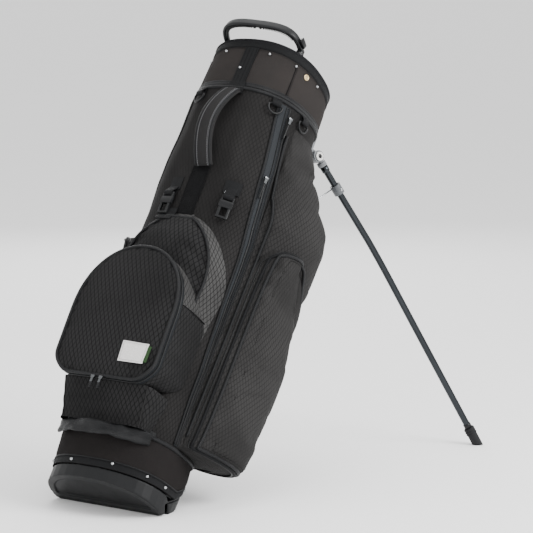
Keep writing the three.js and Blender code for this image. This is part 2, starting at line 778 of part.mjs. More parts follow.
function grabHandle() {
  const width = 38;
  const thickness = 9;
  const top = BODY_TOP - 6;
  const bottom = 590;
  const path = (u, v, lift) => {
    const t = v;
    const z = THREE.MathUtils.lerp(bottom, top, t);
    const standOff = 30 * Math.sin(Math.PI * t) ** 0.8;
    const y = FRONT_LINE + 7 * Math.sin(Math.PI * t) + width * (0.5 - u);
    const x = frontX(FRONT_LINE, z) - 1.5 - standOff - lift;
    return new THREE.Vector3(x, y, z);
  };
  return plate(2, 12, (u, v) => path(u, v, thickness), (u, v) => path(u, v, 0));
}

add('collar_strip', strip(28, COLLAR_BOTTOM + 2, COLLAR_TOP + 8, GAP, 2, FRONT_LINE), 'webbing');
add('grip_strip', strip(36, 490, 586, GAP, 2, FRONT_LINE + 8), 'webbing');
add('grab_handle', grabHandle(), 'webbing');

const PATCH = { x: -162.5, right: -91, left: -36, low: 163, high: 201 };
function patch() {
  const point = (u, v, out) => {
    const y = THREE.MathUtils.lerp(PATCH.right, PATCH.left, u);
    const z = THREE.MathUtils.lerp(PATCH.low, PATCH.high, v);
    return new THREE.Vector3(PATCH.x - out, y, z);
  };
  return plate(1, 1, (u, v) => point(u, v, 1.4), (u, v) => point(u, v, 0));
}
add('blank_patch', patch(), 'patch');

// D-rings hang below the collar on short tabs.
const RING_HALF = 14;
const RING_WIRE = 2;
function dRing(degrees) {
  const top = BODY_TOP - 8;
  const torus = new THREE.TorusGeometry(RING_HALF, RING_WIRE, 6, 14).rotateY(Math.PI / 2);
  const position = torus.attributes.position;
  for (let i = 0; i < position.count; i += 1) {
    const z = position.getZ(i);
    if (z > 0) position.setZ(i, z * 0.3);
  }
  const place = onBag(degrees, top, 6);
  const ahead = onBag(degrees + 2, top, 6);
  const along = Math.atan2(ahead.y - place.y, ahead.x - place.x);
  return torus.rotateZ(along - Math.PI / 2).translate(place.x, place.y, top - 8);
}
const D_RINGS = [['left', -26], ['front', 50], ['right', 86]];
for (const [name, degrees] of D_RINGS) add(`d_ring_${name}`, dRing(degrees), 'mouldedBlack');

// Male buckles for the shoulder straps, each on a short loop of webbing.
function buckle(y, z) {
  const place = onBag(degreesAtY(y, z), z, 9);
  const ahead = onBag(degreesAtY(y - 2, z), z, 9);
  const along = Math.atan2(ahead.y - place.y, ahead.x - place.x);
  const body = box(7, 26, 14);
  const prongs = [-9, 9].map((side) => box(5, 5, 22, 0, side, -16));
  const tip = box(5, 23, 4, 0, 0, -26);
  const barrel = box(6, 24, 5, 0, 0, 14);
  const sides = [-10.5, 10.5].map((side) => box(6, 3, 10, 0, side, 9));
  return joined(body, ...prongs, tip, barrel, ...sides)
    .rotateZ(along + Math.PI / 2)
    .translate(place.x, place.y, z);
}
add('buckle_left', buckle(34, 512), 'mouldedBlack');
add('buckle_right', buckle(-80, 520), 'mouldedBlack');

// Zip sliders with their pulls.
function zipPull() {
  return joined(box(5, 8, 12), box(2.4, 5, 24, -1.2, 0, -14));
}
const LOWER_ZIP = new THREE.Vector3(-153, 9, 126);
for (const [name, side] of [['left', 1], ['right', -1]]) {
  const pull = zipPull().translate(LOWER_ZIP.x, side * LOWER_ZIP.y, LOWER_ZIP.z);
  add(`lower_zip_pull_${name}`, pull, 'steel');
}
function sideZipPull(degrees, z) {
  const place = onBag(degrees, z, 8);
  return zipPull().rotateZ(THREE.MathUtils.degToRad(degrees)).translate(place.x, place.y, z);
}
add('garment_zip_pull', sideZipPull(69, 728), 'steel');
add('channel_zip_pull', sideZipPull(66, 598), 'steel');

// ---------------------------------------------------------------- legs and their linkage
const openRight = new THREE.Vector3(LEG_OPEN_BACK, -LEG_OPEN_OUT, 0);
openRight.z = -Math.sqrt(1 - LEG_OPEN_BACK ** 2 - LEG_OPEN_OUT ** 2);
const hingeAxis = new THREE.Vector3(-LEG_OPEN_OUT, -LEG_OPEN_BACK, 0).normalize();
const outward = new THREE.Vector3().crossVectors(hingeAxis, openRight).normalize();

function along(distance, bow = 0) {
  return HINGE.clone().addScaledVector(openRight, distance).addScaledVector(outward, bow);
}

function groundCut(geometry) {
  const low = acrossBag([
    fromGround(-400, 0), fromGround(1500, 0), fromGround(1500, 900), fromGround(-400, 900),
  ], 1200);
  return common(geometry, low);
}

function legTube() {
  const end = LEG_LENGTH - FOOT_LENGTH;
  const bend = 0.33 * LEG_LENGTH;
  const points = [
    along(22, 1),
    along(bend * 0.5, LEG_BOW * 0.5),
    along(bend * 0.9, LEG_BOW * 0.93),
    along(bend * 1.15, LEG_BOW * 0.95),
    along(bend * 2, LEG_BOW * 0.5),
    along(end, LEG_BOW * (LEG_LENGTH - end) / (LEG_LENGTH - bend)),
  ];
  return roundTube(points, LEG_RADIUS, 12, 10);
}

function legFoot() {
  const start = LEG_LENGTH - FOOT_LENGTH + GAP;
  const neck = cylinderBetween(along(start, 1), along(LEG_LENGTH + 8, 0), FOOT_RADIUS, 16);
  return groundCut(neck);
}

function legFitting() {
  const eye = cylinderBetween(
    HINGE.clone().addScaledVector(hingeAxis, -5),
    HINGE.clone().addScaledVector(hingeAxis, 5),
    12,
    16,
  );
  const neck = cylinderBetween(along(4, 0), along(16, 0), 5, 12);
  const socket = cylinderBetween(along(13.5, 0), along(21.5, 0.5), 9, 16);
  const bore = cylinderBetween(
    HINGE.clone().addScaledVector(hingeAxis, -20),
    HINGE.clone().addScaledVector(hingeAxis, 20),
    3.4,
    12,
  );
  return cut(joined(eye, neck, socket), bore);
}

function legPivot() {
  const shank = cylinderBetween(
    HINGE.clone().addScaledVector(hingeAxis, -17),
    HINGE.clone().addScaledVector(hingeAxis, 6),
    3,
    12,
  );
  const head = cylinderBetween(
    HINGE.clone().addScaledVector(hingeAxis, 5.4),
    HINGE.clone().addScaledVector(hingeAxis, 8),
    7.5,
    20,
  );
  return joined(shank, head);
}

const clampCentre = along(CLAMP_DISTANCE, 3);
const wireTarget = new THREE.Vector3(ROD_TOP.x + 6, -13, ROD_TOP.z);
const wireAxis = new THREE.Vector3(0.27, 0.905, 0.325).normalize();

function clampRing() {
  const bowAt = (d) => (LEG_BOW * d) / (0.33 * LEG_LENGTH);
  const from = CLAMP_DISTANCE - CLAMP_LENGTH / 2;
  const to = CLAMP_DISTANCE + CLAMP_LENGTH / 2;
  const body = cylinderBetween(along(from, bowAt(from)), along(to, bowAt(to)), 10.5, 16);
  const hole = cylinderBetween(
    along(from - 5, bowAt(from)),
    along(to + 5, bowAt(to)),
    LEG_RADIUS + 0.8,
    16,
  );
  const stud = cylinderBetween(
    clampCentre.clone().addScaledVector(wireAxis, 8.5),
    clampCentre.clone().addScaledVector(wireAxis, WIRE_OFFSET - WIRE_RADIUS - GAP),
    3,
    10,
  );
  return joined(cut(body, hole), stud);
}

// Each wire arm turns on a stud on the clamp's inner side and ends just beside the slider.
function wireArm() {
  const from = clampCentre.clone().addScaledVector(wireAxis, WIRE_OFFSET);
  const run = new THREE.Vector3().subVectors(wireTarget, from).normalize();
  return cylinderBetween(from.addScaledVector(run, -4), wireTarget, WIRE_RADIUS, 8);
}

function mirrored(geometry) {
  const copy = geometry.clone().scale(1, -1, 1);
  const index = copy.index ? copy.index.array : null;
  if (index) {
    for (let i = 0; i < index.length; i += 3) [index[i], index[i + 1]] = [index[i + 1], index[i]];
    return copy;
  }
  const position = copy.attributes.position;
  for (let i = 0; i < position.count; i += 3) {
    const a = new THREE.Vector3().fromBufferAttribute(position, i);
    const b = new THREE.Vector3().fromBufferAttribute(position, i + 1);
    position.setXYZ(i, b.x, b.y, b.z);
    position.setXYZ(i + 1, a.x, a.y, a.z);
  }
  return copy;
}

const LEG_PARTS = [
  ['leg_fitting', legFitting(), 'mouldedPale'],
  ['leg_pivot', legPivot(), 'aluminium'],
  ['leg_tube', legTube(), 'darkAluminium'],
  ['leg_foot', legFoot(), 'rubber'],
  ['leg_clamp', clampRing(), 'mouldedGrey'],
  ['wire_arm', wireArm(), 'steel'],
];
for (const [name, geometry, finish] of LEG_PARTS) {
  add(`${name}_right`, geometry, finish);
  add(`${name}_left`, mirrored(geometry), finish);
}

// The bracket sits on the spine just under the collar, with a lug beside each leg.
function legBracket() {
  const low = HINGE.z - 26;
  const high = HINGE.z + 22;
  const point = (u, v, out) => {
    const z = THREE.MathUtils.lerp(low, high, v);
    const y = 78 * (1 - 2 * u);
    return new THREE.Vector3(backX(y, z, out), y, z);
  };
  let bracket = plate(12, 1, (u, v) => point(u, v, 12), (u, v) => point(u, v, 4.2));
  for (const side of [1, -1]) {
    const axis = hingeAxis.clone().setY(side * hingeAxis.y);
    const centre = HINGE.clone().setY(side * HINGE.y);
    const lug = cylinderBetween(
      centre.clone().addScaledVector(axis, -14),
      centre.clone().addScaledVector(axis, -6),
      12,
      14,
    );
    const inward = new THREE.Vector3(-Math.abs(axis.y), -side * axis.x, 0);
    const root = centre.clone().addScaledVector(axis, -10).addScaledVector(inward, 17);
    const arm = box(8, 28, 24).rotateZ(Math.atan2(axis.y, axis.x)).translate(root.x, root.y, root.z);
    bracket = joined(bracket, lug, arm);
    const bore = cylinderBetween(
      centre.clone().addScaledVector(axis, -30),
      centre.clone().addScaledVector(axis, 30),
      3.4,
      12,
    );
    bracket = cut(bracket, bore);
  }
  return bracket;
}
add('leg_bracket', legBracket(), 'mouldedPale');

add('actuator_rod', cylinderBetween(ROD_BOTTOM, ROD_TOP, ROD_RADIUS, 10), 'steel');
const rodTurn = Math.atan2(ROD_TOP.x - ROD_BOTTOM.x, ROD_TOP.z - ROD_BOTTOM.z);
const sliderBlock = cut(
  box(14, 20, 26).rotateY(rodTurn).translate(ROD_TOP.x + 0.4, 0, ROD_TOP.z + 1),
  cylinderBetween(ROD_BOTTOM, ROD_TOP.clone().setZ(ROD_TOP.z + GAP), ROD_RADIUS + GAP, 10),
);
add('slider_block', sliderBlock, 'mouldedBlack');

// Guides hold the rod to the back of the bag.
function rodGuide(z) {
  const x = THREE.MathUtils.lerp(ROD_BOTTOM.x, ROD_TOP.x, (z - ROD_BOTTOM.z) / (ROD_TOP.z - ROD_BOTTOM.z));
  const near = backX(0, z) + 1;
  const far = x + 7;
  const block = box(far - near, 20, 16, (far + near) / 2, 0, z);
  const axis = new THREE.Vector3().subVectors(ROD_TOP, ROD_BOTTOM);
  const from = ROD_BOTTOM.clone().addScaledVector(axis, -0.2);
  return cut(block, cylinderBetween(from, ROD_TOP, ROD_RADIUS + 0.8, 10));
}
add('rod_guide_low', rodGuide(120), 'mouldedBlack');
add('rod_guide_high', rodGuide(420), 'mouldedBlack');

// The origin is at ground level, under the middle of the bag and its opened legs.
const extent = new THREE.Box3().setFromObject(group, true);
group.position.x = -(extent.min.x + extent.max.x) / 2;

export default group;
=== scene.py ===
"""Golf stand bag: looks. Everything is placed in the bag's own frame, in millimetres, then
turned into the row frame: +Z runs from base to mouth, -X is the strap side, -Y the right side."""
import json
import math

import bmesh
import bpy
import numpy as np
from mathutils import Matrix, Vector, noise

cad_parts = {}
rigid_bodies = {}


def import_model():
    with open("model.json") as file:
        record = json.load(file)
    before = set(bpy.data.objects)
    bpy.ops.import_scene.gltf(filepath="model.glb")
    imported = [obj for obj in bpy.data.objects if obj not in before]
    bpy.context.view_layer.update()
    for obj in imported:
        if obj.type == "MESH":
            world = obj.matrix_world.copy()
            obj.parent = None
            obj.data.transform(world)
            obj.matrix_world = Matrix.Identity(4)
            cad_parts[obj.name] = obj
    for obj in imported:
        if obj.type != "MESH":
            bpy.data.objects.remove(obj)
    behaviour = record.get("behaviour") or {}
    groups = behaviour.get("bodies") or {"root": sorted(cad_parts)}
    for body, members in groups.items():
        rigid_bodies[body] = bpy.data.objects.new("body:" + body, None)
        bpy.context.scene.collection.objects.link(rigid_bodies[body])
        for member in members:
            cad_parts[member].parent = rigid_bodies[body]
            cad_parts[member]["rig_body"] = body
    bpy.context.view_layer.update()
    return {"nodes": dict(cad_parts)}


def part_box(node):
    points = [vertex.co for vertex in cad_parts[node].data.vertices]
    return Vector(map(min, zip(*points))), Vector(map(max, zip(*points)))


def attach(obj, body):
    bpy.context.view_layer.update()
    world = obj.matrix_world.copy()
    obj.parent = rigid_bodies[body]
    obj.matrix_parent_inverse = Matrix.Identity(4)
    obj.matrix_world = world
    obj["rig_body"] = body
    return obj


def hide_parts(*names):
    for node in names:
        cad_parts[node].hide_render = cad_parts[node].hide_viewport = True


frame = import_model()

# ---- the bag's own frame
# The bag leans and stands on the edge of its base cup, and the flap's pin lies just behind it.
LEAN = math.radians(35)
COS, SIN = math.cos(LEAN), math.sin(LEAN)
BAR_X, BAR_Z = 12, -52
PIN_BEHIND_BAR = 13
pin_low, pin_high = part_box("flap_pin")
SHIFT = 500 * (pin_low[0] + pin_high[0]) - PIN_BEHIND_BAR
ORIGIN_X = SHIFT - (BAR_X * COS + BAR_Z * SIN)
ORIGIN_Z = BAR_X * SIN - BAR_Z * COS

# Height, half-width, depth to the front and back, squareness of each.
SECTIONS = (
    (-60, 121, 82, 78, 2.2, 3.4),
    (-14, 122, 87, 78, 2.3, 3.4),
    (62, 123, 94, 85, 2.7, 3.0),
    (300, 123, 100, 97, 2.6, 2.6),
    (560, 122, 106, 104, 2.5, 2.5),
    (760, 117, 110, 105, 2.4, 2.4),
    (880, 113, 104, 102, 2.4, 2.4),
)
# The side and garment pockets' distance outside the body, by height.
GARMENT = ((68, 34), (300, 60), (400, 70), (450, 78), (520, 82), (560, 76), (610, 51), (676, 23),
           (722, 4))
SIDE = ((70, 70), (90, 82), (132, 88), (210, 92), (285, 93), (350, 88), (410, 82), (486, 80))
RIM_SLANT = math.tan(math.radians(8))
CLOTH_LOW, CLOTH_HIGH = 64.8, 757.2
COLLAR_LOW, COLLAR_HIGH = 764, 836.2
LINING_OUT = -2.6
UP = Vector((0, 0, 1))


def lerp(a, b, t):
    return a + (b - a) * t


def radial(p):
    """The level direction from the bag's axis to a point."""
    return Vector((p[0], p[1], 0)).normalized()


def clamp(t, low=0.0, high=1.0):
    return min(max(t, low), high)


def smooth(t, low=0.0, high=1.0):
    t = clamp((t - low) / (high - low))
    return t * t * (3 - 2 * t)


def table(rows, z, column=1, soft=True):
    """A value from a table of heights, eased between rows."""
    if z <= rows[0][0]:
        return rows[0][column]
    for low, high in zip(rows, rows[1:]):
        if z <= high[0]:
            t = (z - low[0]) / (high[0] - low[0])
            return lerp(low[column], high[column], smooth(t) * 0.5 + t * 0.5 if soft else t)
    return rows[-1][column]


def section(z):
    return [table(SECTIONS, z, k, soft=False) for k in range(1, 6)]


def on_bag(degrees, z, out=0.0):
    """Degrees round from the front over the right side, height, distance outside."""
    width, front, back, front_power, back_power = section(z)
    angle = math.radians(degrees)
    cos, sin = math.cos(angle), math.sin(angle)
    depth, power = (front, front_power) if cos > 0 else (back, back_power)
    x = -math.copysign(1, cos) * (depth + out) * abs(cos) ** (2 / power)
    y = -math.copysign(1, sin) * (width + out) * abs(sin) ** (2 / power)
    return Vector((x, y, z))


def front_x(y, z, out=0.0):
    width, front, _, power, _ = section(z)
    across = min(abs(y) / (width + out), 1)
    return -(front + out) * (1 - across ** power) ** (1 / power)


def back_x(y, z, out=0.0):
    width, _, back, _, power = section(z)
    across = min(abs(y) / (width + out), 1)
    return (back + out) * (1 - across ** power) ** (1 / power)


def degrees_at(y, z):
    width, _, _, power, _ = section(z)
    sine = (abs(y) / width) ** (power / 2)
    return -math.copysign(1, y) * math.degrees(math.asin(min(sine, 1)))


def row(p):
    x, y, z = p
    return Vector((
        (ORIGIN_X + x * COS + z * SIN) / 1000,
        y / 1000,
        (ORIGIN_Z - x * SIN + z * COS) / 1000,
    ))


AXIS = (row(UP) - row((0, 0, 0))).normalized()


def wave(p, scale, seed):
    """Smooth noise from -1 to 1 at a point in millimetres."""
    return noise.noise(Vector(p) / scale + Vector((seed, seed * 0.7, -seed)))


def add_object(name, data):
    obj = bpy.data.objects.new(name, data)
    bpy.context.scene.collection.objects.link(obj)
    return obj


# ---- camera
TARGET = Vector((SHIFT / 1000 + 0.294, 0, 0.45))
AZIMUTH, ELEVATION = math.radians(36.795), math.radians(7.716)
DISTANCE, LENS, SENSOR = 4.6422, 167.4574109, 36
# How far the aim passes beside and below the target, as tangents of the angles.
AIM_RIGHT, AIM_DOWN = 0.02427298, 0.01012383
away = Vector((
    -math.cos(AZIMUTH) * math.cos(ELEVATION),
    -math.sin(AZIMUTH) * math.cos(ELEVATION),
    math.sin(ELEVATION),
))
right = (-away).cross(UP).normalized()
up = right.cross(-away)
aim = -away + right * AIM_RIGHT - up * AIM_DOWN
camera_data = bpy.data.cameras.new("camera")
camera = add_object("camera", camera_data)
camera.location = TARGET + away * DISTANCE
camera.rotation_euler = aim.to_track_quat("-Z", "Y").to_euler()
camera_data.sensor_width = SENSOR
camera_data.lens = LENS
bpy.context.scene.camera = camera


# ---- materials
class Finish:
    """A small helper for building a node material."""

    def __init__(self, name, roughness=0.6, metallic=0.0, specular=0.5, sheen=0.0):
        self.material = bpy.data.materials.new(name)
        self.material.use_nodes = True
        self.tree = self.material.node_tree
        self.shader = self.tree.nodes["Principled BSDF"]
        values = {"Roughness": roughness, "Metallic": metallic, "Specular IOR Level": specular}
        if sheen:
            values.update({"Sheen Weight": sheen, "Sheen Roughness": 0.45})
        for socket, value in values.items():
            self.shader.inputs[socket].default_value = value
        self.bumps = []
        coordinates = self.tree.nodes.new("ShaderNodeTexCoord")
        self.object = coordinates.outputs["Object"]
        self.uv = coordinates.outputs["UV"]

    def link(self, source, target):
        if isinstance(source, (int, float)):
            target.default_value = source
        elif isinstance(source, tuple):
            target.default_value = (*source, 1.0)
        else:
            self.tree.links.new(source, target)

    def math(self, operation, a, b=0.0):
        node = self.tree.nodes.new("ShaderNodeMath")
        node.operation = operation
        for value, socket in zip((a, b), node.inputs):
            self.link(value, socket)
        return node.outputs[0]

    def split(self, vector):
        node = self.tree.nodes.new("ShaderNodeSeparateXYZ")
        self.link(vector, node.inputs[0])
        return node.outputs

    def noise(self, vector, scale, detail=2.0, roughness=0.5):
        node = self.tree.nodes.new("ShaderNodeTexNoise")
        self.link(vector, node.inputs["Vector"])
        node.inputs["Scale"].default_value = scale
        node.inputs["Detail"].default_value = detail
        node.inputs["Roughness"].default_value = roughness
        return node.outputs["Fac"]

    def remap(self, value, low, high, to_low=0.0, to_high=1.0):
        node = self.tree.nodes.new("ShaderNodeMapRange")
        node.interpolation_type = "SMOOTHSTEP"
        for item, socket in zip((value, low, high, to_low, to_high), node.inputs):
            self.link(item, socket)
        return node.outputs[0]

    def mix(self, factor, a, b):
        node = self.tree.nodes.new("ShaderNodeMix")
        node.data_type = "RGBA"
        self.link(factor, node.inputs["Factor"])
        self.link(a, node.inputs["A"])
        self.link(b, node.inputs["B"])
        return node.outputs["Result"]

    def colour(self, value):
        self.link(value, self.shader.inputs["Base Color"])

    def rough(self, value):
        self.link(value, self.shader.inputs["Roughness"])

    def bump(self, height, depth, strength=1.0):
        self.bumps.append((height, depth, strength))

    def done(self):
        normal = None
        for height, depth, strength in self.bumps:
            node = self.tree.nodes.new("ShaderNodeBump")
            node.inputs["Strength"].default_value = strength
            node.inputs["Distance"].default_value = depth
            self.link(height, node.inputs["Height"])
            if normal is not None:
                self.link(normal, node.inputs["Normal"])
            normal = node.outputs["Normal"]
        if normal is not None:
            self.link(normal, self.shader.inputs["Normal"])
        return self.material


def tinted(base, factor):
    return tuple(c * factor for c in base)


def line_near(f, value):
    """1 on the whole numbers of value, fading to 0 a short way off."""
    return f.remap(f.math("PINGPONG", value, 0.5), 0.0, 0.13, 1.0, 0.0)


def woven(f, u, v, pitch):
    """The height of a plain weave whose threads are pitch apart."""
    turn = 2 * math.pi / pitch
    across = f.math("SINE", f.math("MULTIPLY", u, turn))
    along = f.math("SINE", f.math("MULTIPLY", v, turn))
    return f.math("MULTIPLY", across, along)


def ripstop(name, base, line, lines, wide=0.0095, tall=0.0165):
    """Coated cloth with a small diamond grid of thicker threads, wide by tall metres."""
    f = Finish(name, roughness=0.62, specular=0.04)
    u, v, _ = f.split(f.uv)
    a = f.math("DIVIDE", u, wide)
    b = f.math("DIVIDE", v, tall)
    first = line_near(f, f.math("ADD", a, b))
    second = line_near(f, f.math("SUBTRACT", a, b))
    grid = f.math("MAXIMUM", first, second)
    crossing = f.math("MULTIPLY", first, second)
    cloudy = f.noise(f.object, 9.0, 3.0)
    grain = f.noise(f.object, 900.0, 2.0)
    ground = f.mix(f.remap(cloudy, 0.35, 0.65), tinted(base, 0.82), tinted(base, 1.22))
    ground = f.mix(f.remap(grain, 0.45, 0.75, 0.0, 0.35), ground, tinted(base, 1.9))
    coloured = f.mix(f.math("MULTIPLY", grid, lines), ground, line)
    f.colour(f.mix(f.math("MULTIPLY", crossing, 0.5), coloured, tinted(base, 0.35)))
    f.rough(f.remap(cloudy, 0.3, 0.7, 0.55, 0.72))
    f.bump(f.noise(f.object, 14.0, 3.0), 0.007, 0.4)
    f.bump(grid, 0.0006, 0.75)
    f.bump(woven(f, u, v, 0.0012), 0.0001, 0.5)
    return f.done()


def plain_cloth(name, base, pitch=0.0011, warm=None):
    """Close plain weave with thicker and thinner threads."""
    f = Finish(name, roughness=0.8, specular=0.04)
    u, v, _ = f.split(f.uv)
    cloudy = f.noise(f.object, 12.0, 3.0)
    grain = f.noise(f.object, 700.0, 2.0)
    ground = f.mix(f.remap(cloudy, 0.3, 0.7), tinted(base, 0.88), warm or base)
    f.colour(f.mix(f.remap(grain, 0.42, 0.7, 0.0, 0.55), ground, tinted(base, 1.45)))
    f.rough(f.remap(grain, 0.3, 0.7, 0.7, 0.9))
    f.bump(f.noise(f.object, 40.0, 2.0), 0.0015, 0.3)
    f.bump(woven(f, u, v, pitch), 0.00018, 0.8)
    return f.done()


def webbing(name, base, pitch=0.0016, along="v", gloss=0.55, specular=0.1):
    """Ribbed strap: ribs run across it, with a painted highlight on the ribs and painted shade between
    them.
    """
    f = Finish(name, roughness=gloss, specular=specular)
    u, v, _ = f.split(f.uv)
    run, side = (v, u) if along == "v" else (u, v)
    ribs = f.math("PINGPONG", f.math("DIVIDE", run, pitch), 0.5)
    grain = f.noise(f.object, 600.0, 2.0)
    # Painted highlight and painted shade: the colour is lighter on the ribs and darker in the grooves.
    shade = f.mix(f.remap(ribs, 0.05, 0.4), tinted(base, 0.6), tinted(base, 1.3))
    f.colour(f.mix(f.remap(grain, 0.45, 0.75, 0.0, 0.4), shade, tinted(base, 2.0)))
    f.rough(f.remap(grain, 0.3, 0.7, gloss - 0.08, gloss + 0.15))
    f.bump(ribs, 0.0006, 0.8)
    f.bump(f.math("SINE", f.math("MULTIPLY", side, 2 * math.pi / 0.0012)), 0.00012, 0.6)
    return f.done()


def moulded(name, base, roughness, texture):
    """Injection-moulded plastic with a fine spark texture and rubbed patches."""
    f = Finish(name, roughness=roughness, specular=0.22)
    patches = f.noise(f.object, 16.0, 4.0)
    grain = f.noise(f.object, 1400.0, 2.0)
    f.colour(f.mix(f.remap(patches, 0.35, 0.7), tinted(base, 0.85), tinted(base, 1.15)))
    f.rough(f.remap(patches, 0.3, 0.75, roughness - 0.07, roughness + 0.1))
    f.bump(grain, 0.0003, texture)
    return f.done()


def metal(name, base, roughness, brushed, patches=0.12, relief=0.35):
    """Metal with fine scratches of the given density."""
    f = Finish(name, roughness=roughness, metallic=1.0)
    cloud = f.noise(f.object, 24.0, 3.0)
    scratch = f.noise(f.object, brushed, 3.0, 0.7)
    f.colour(f.mix(f.remap(cloud, 0.3, 0.7), tinted(base, 0.88), base))
    f.rough(f.remap(scratch, 0.35, 0.7, roughness - patches * 0.4, roughness + patches))
    f.bump(scratch, 0.00008, relief)
    return f.done()


def hook_and_loop(name, base):
    f = Finish(name, roughness=0.95, specular=0.05, sheen=0.06)
    fuzz = f.noise(f.object, 850.0, 4.0, 0.8)
    f.colour(f.mix(f.remap(fuzz, 0.35, 0.7), tinted(base, 0.4), tinted(base, 1.6)))
    f.bump(fuzz, 0.0016, 0.9)
    return f.done()


def spacer_mesh(name, base):
    """Padded mesh: round holes in staggered rows."""
    f = Finish(name, roughness=0.75, specular=0.05)
    cells = f.tree.nodes.new("ShaderNodeTexVoronoi")
    f.link(f.uv, cells.inputs["Vector"])
    cells.inputs["Scale"].default_value = 300.0
    cells.inputs["Randomness"].default_value = 0.12
    hole = f.remap(cells.outputs["Distance"], 0.2, 0.42)
    # The holes are painted dark, as painted shade inside them.
    f.colour(f.mix(hole, tinted(base, 0.3), tinted(base, 1.5)))
    f.bump(hole, 0.001, 0.8)
    return f.done()


def rubber(name, base):
    f = Finish(name, roughness=0.7, specular=0.25)
    dust = f.noise(f.object, 120.0, 4.0, 0.7)
    f.colour(f.mix(f.remap(dust, 0.45, 0.8), base, tinted(base, 1.9)))
    f.rough(f.remap(dust, 0.3, 0.7, 0.62, 0.82))
    f.bump(f.noise(f.object, 900.0, 2.0), 0.0003, 0.4)
    return f.done()


BLACK_WEB = (0.006, 0.0062, 0.0068)
MAT = {
    "ripstop": ripstop("ripstop_charcoal", (0.0165, 0.0163, 0.0166), (0.0022, 0.0022, 0.0025), 0.9),
    "body": ripstop("ripstop_body", (0.0142, 0.0136, 0.0135), (0.0040, 0.0040, 0.0042), 0.5,
                    0.0078, 0.0138),
    # Painted light: a lighter copy of the body ripstop for the side and garment pockets, standing in for
    # the key light on them.
    "side": ripstop("ripstop_side_painted_lit", (0.0235, 0.0228, 0.0226), (0.0080, 0.0080, 0.0083), 0.6,
                    0.0072, 0.0130),
    "light": ripstop("ripstop_light", (0.042, 0.0415, 0.041), (0.0045, 0.0045, 0.0049), 0.9),
    "collar": plain_cloth("collar_cloth", (0.0237, 0.0215, 0.0209), warm=(0.0264, 0.0231, 0.0220)),
    "band": plain_cloth("band_cloth", (0.0145, 0.0130, 0.0130), warm=(0.0136, 0.0122, 0.0119)),
    "dark_web": webbing("webbing_black", BLACK_WEB),
    "web_across": webbing("webbing_across", BLACK_WEB, along="u"),
    "bound": webbing("binding_black", (0.0050, 0.0053, 0.0060), pitch=0.0009, gloss=0.42,
                     specular=0.22),
    "tape": webbing("zip_tape", (0.0185, 0.0205, 0.0230), pitch=0.0014, gloss=0.6),
    "strap_grey": plain_cloth("strap_face", (0.021, 0.0205, 0.0208), pitch=0.0014),
    "edge_grey": plain_cloth("strap_edging", (0.0810, 0.0828, 0.0873), pitch=0.0012),
    "thread": plain_cloth("thread", (0.007, 0.007, 0.0075), pitch=0.0008),
    "thread_grey": plain_cloth("thread_grey", (0.15, 0.15, 0.155), pitch=0.0008),
    "patch": plain_cloth("patch_cloth", (0.72, 0.71, 0.69), pitch=0.0009),
    "tab": plain_cloth("tab_green", (0.030, 0.060, 0.026), pitch=0.0009),
    "loop": hook_and_loop("loop_pile", (0.0035, 0.0035, 0.004)),
    "mesh": spacer_mesh("spacer_mesh", (0.010, 0.010, 0.011)),
    "lining": plain_cloth("lining", (0.010, 0.010, 0.011), pitch=0.0014),
    "fleece": hook_and_loop("divider_pile", (0.008, 0.008, 0.009)),
    "base": moulded("base_plastic", (0.0042, 0.0046, 0.0052), 0.46, 0.3),
    "black": moulded("hardware_black", (0.0055, 0.0058, 0.0064), 0.36, 0.15),
    "coil": moulded("zip_coil", (0.0048, 0.005, 0.0055), 0.34, 0.1),
    "handle": moulded("handle_grey", (0.0105, 0.0112, 0.0121), 0.4, 0.2),
    "pale": moulded("fitting_grey", (0.17, 0.176, 0.183), 0.45, 0.2),
    "clamp": moulded("clamp_grey", (0.085, 0.09, 0.096), 0.38, 0.2),
    "leg": metal("leg_anodised", (0.034, 0.0375, 0.041), 0.27, 320.0, 0.04, 0.08),
    "steel": metal("bright_steel", (0.42, 0.43, 0.44), 0.24, 500.0),
    "alloy": metal("satin_alloy", (0.62, 0.63, 0.65), 0.34, 300.0),
    "brass": metal("brass_plate", (0.60, 0.47, 0.26), 0.28, 400.0),
    "rubber": rubber("foot_rubber", (0.008, 0.008, 0.009)),
    "gunmetal": metal("zip_slider", (0.13, 0.135, 0.14), 0.28, 400.0),
}


# ---- building pieces
CLOTH_FRAMES = 20


def piece(name, points, faces, finish, body="bag", stands_for=(), uv=None, soft=True, local=True):
    """A mesh from points in the bag's frame; uv gives metres along the cloth for each point."""
    mesh = bpy.data.meshes.new(name)
    mesh.from_pydata([row(p) if local else Vector(p) for p in points], [], faces)
    if uv is not None:
        layer = mesh.uv_layers.new(name="cloth")
        corner = np.zeros(len(mesh.loops), int)
        mesh.loops.foreach_get("vertex_index", corner)
        layer.data.foreach_set("uv", np.asarray(uv, float)[corner].ravel())
    mesh.polygons.foreach_set("use_smooth", [soft] * len(mesh.polygons))
    mesh.update()
    return settle(add_object(name, mesh), finish, body, stands_for)


def settle(obj, finish, body="bag", stands_for=()):
    obj.data.materials.clear()
    obj.data.materials.append(MAT[finish])
    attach(obj, body)
    if stands_for:
        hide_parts(*stands_for)
    return obj


def reworked(obj, change):
    """The same object after one change to its mesh in editable form."""
    work = bmesh.new()
    work.from_mesh(obj.data)
    change(work)
    work.to_mesh(obj.data)
    work.free()
    return obj


def outward(obj):
    """Turns every face to the outside of a closed shape."""
    return reworked(obj, lambda work: bmesh.ops.recalc_face_normals(work, faces=work.faces))


def weld(obj, distance):
    return reworked(obj, lambda work: bmesh.ops.remove_doubles(work, verts=work.verts, dist=distance))


def grid_points(at, across, up_steps):
    return [[at(i / across, j / up_steps) for i in range(across + 1)] for j in range(up_steps + 1)]


def grid_faces(across, up_steps):
    wide = across + 1
    return [(j * wide + i, j * wide + i + 1, (j + 1) * wide + i + 1, (j + 1) * wide + i)
            for j in range(up_steps) for i in range(across)]


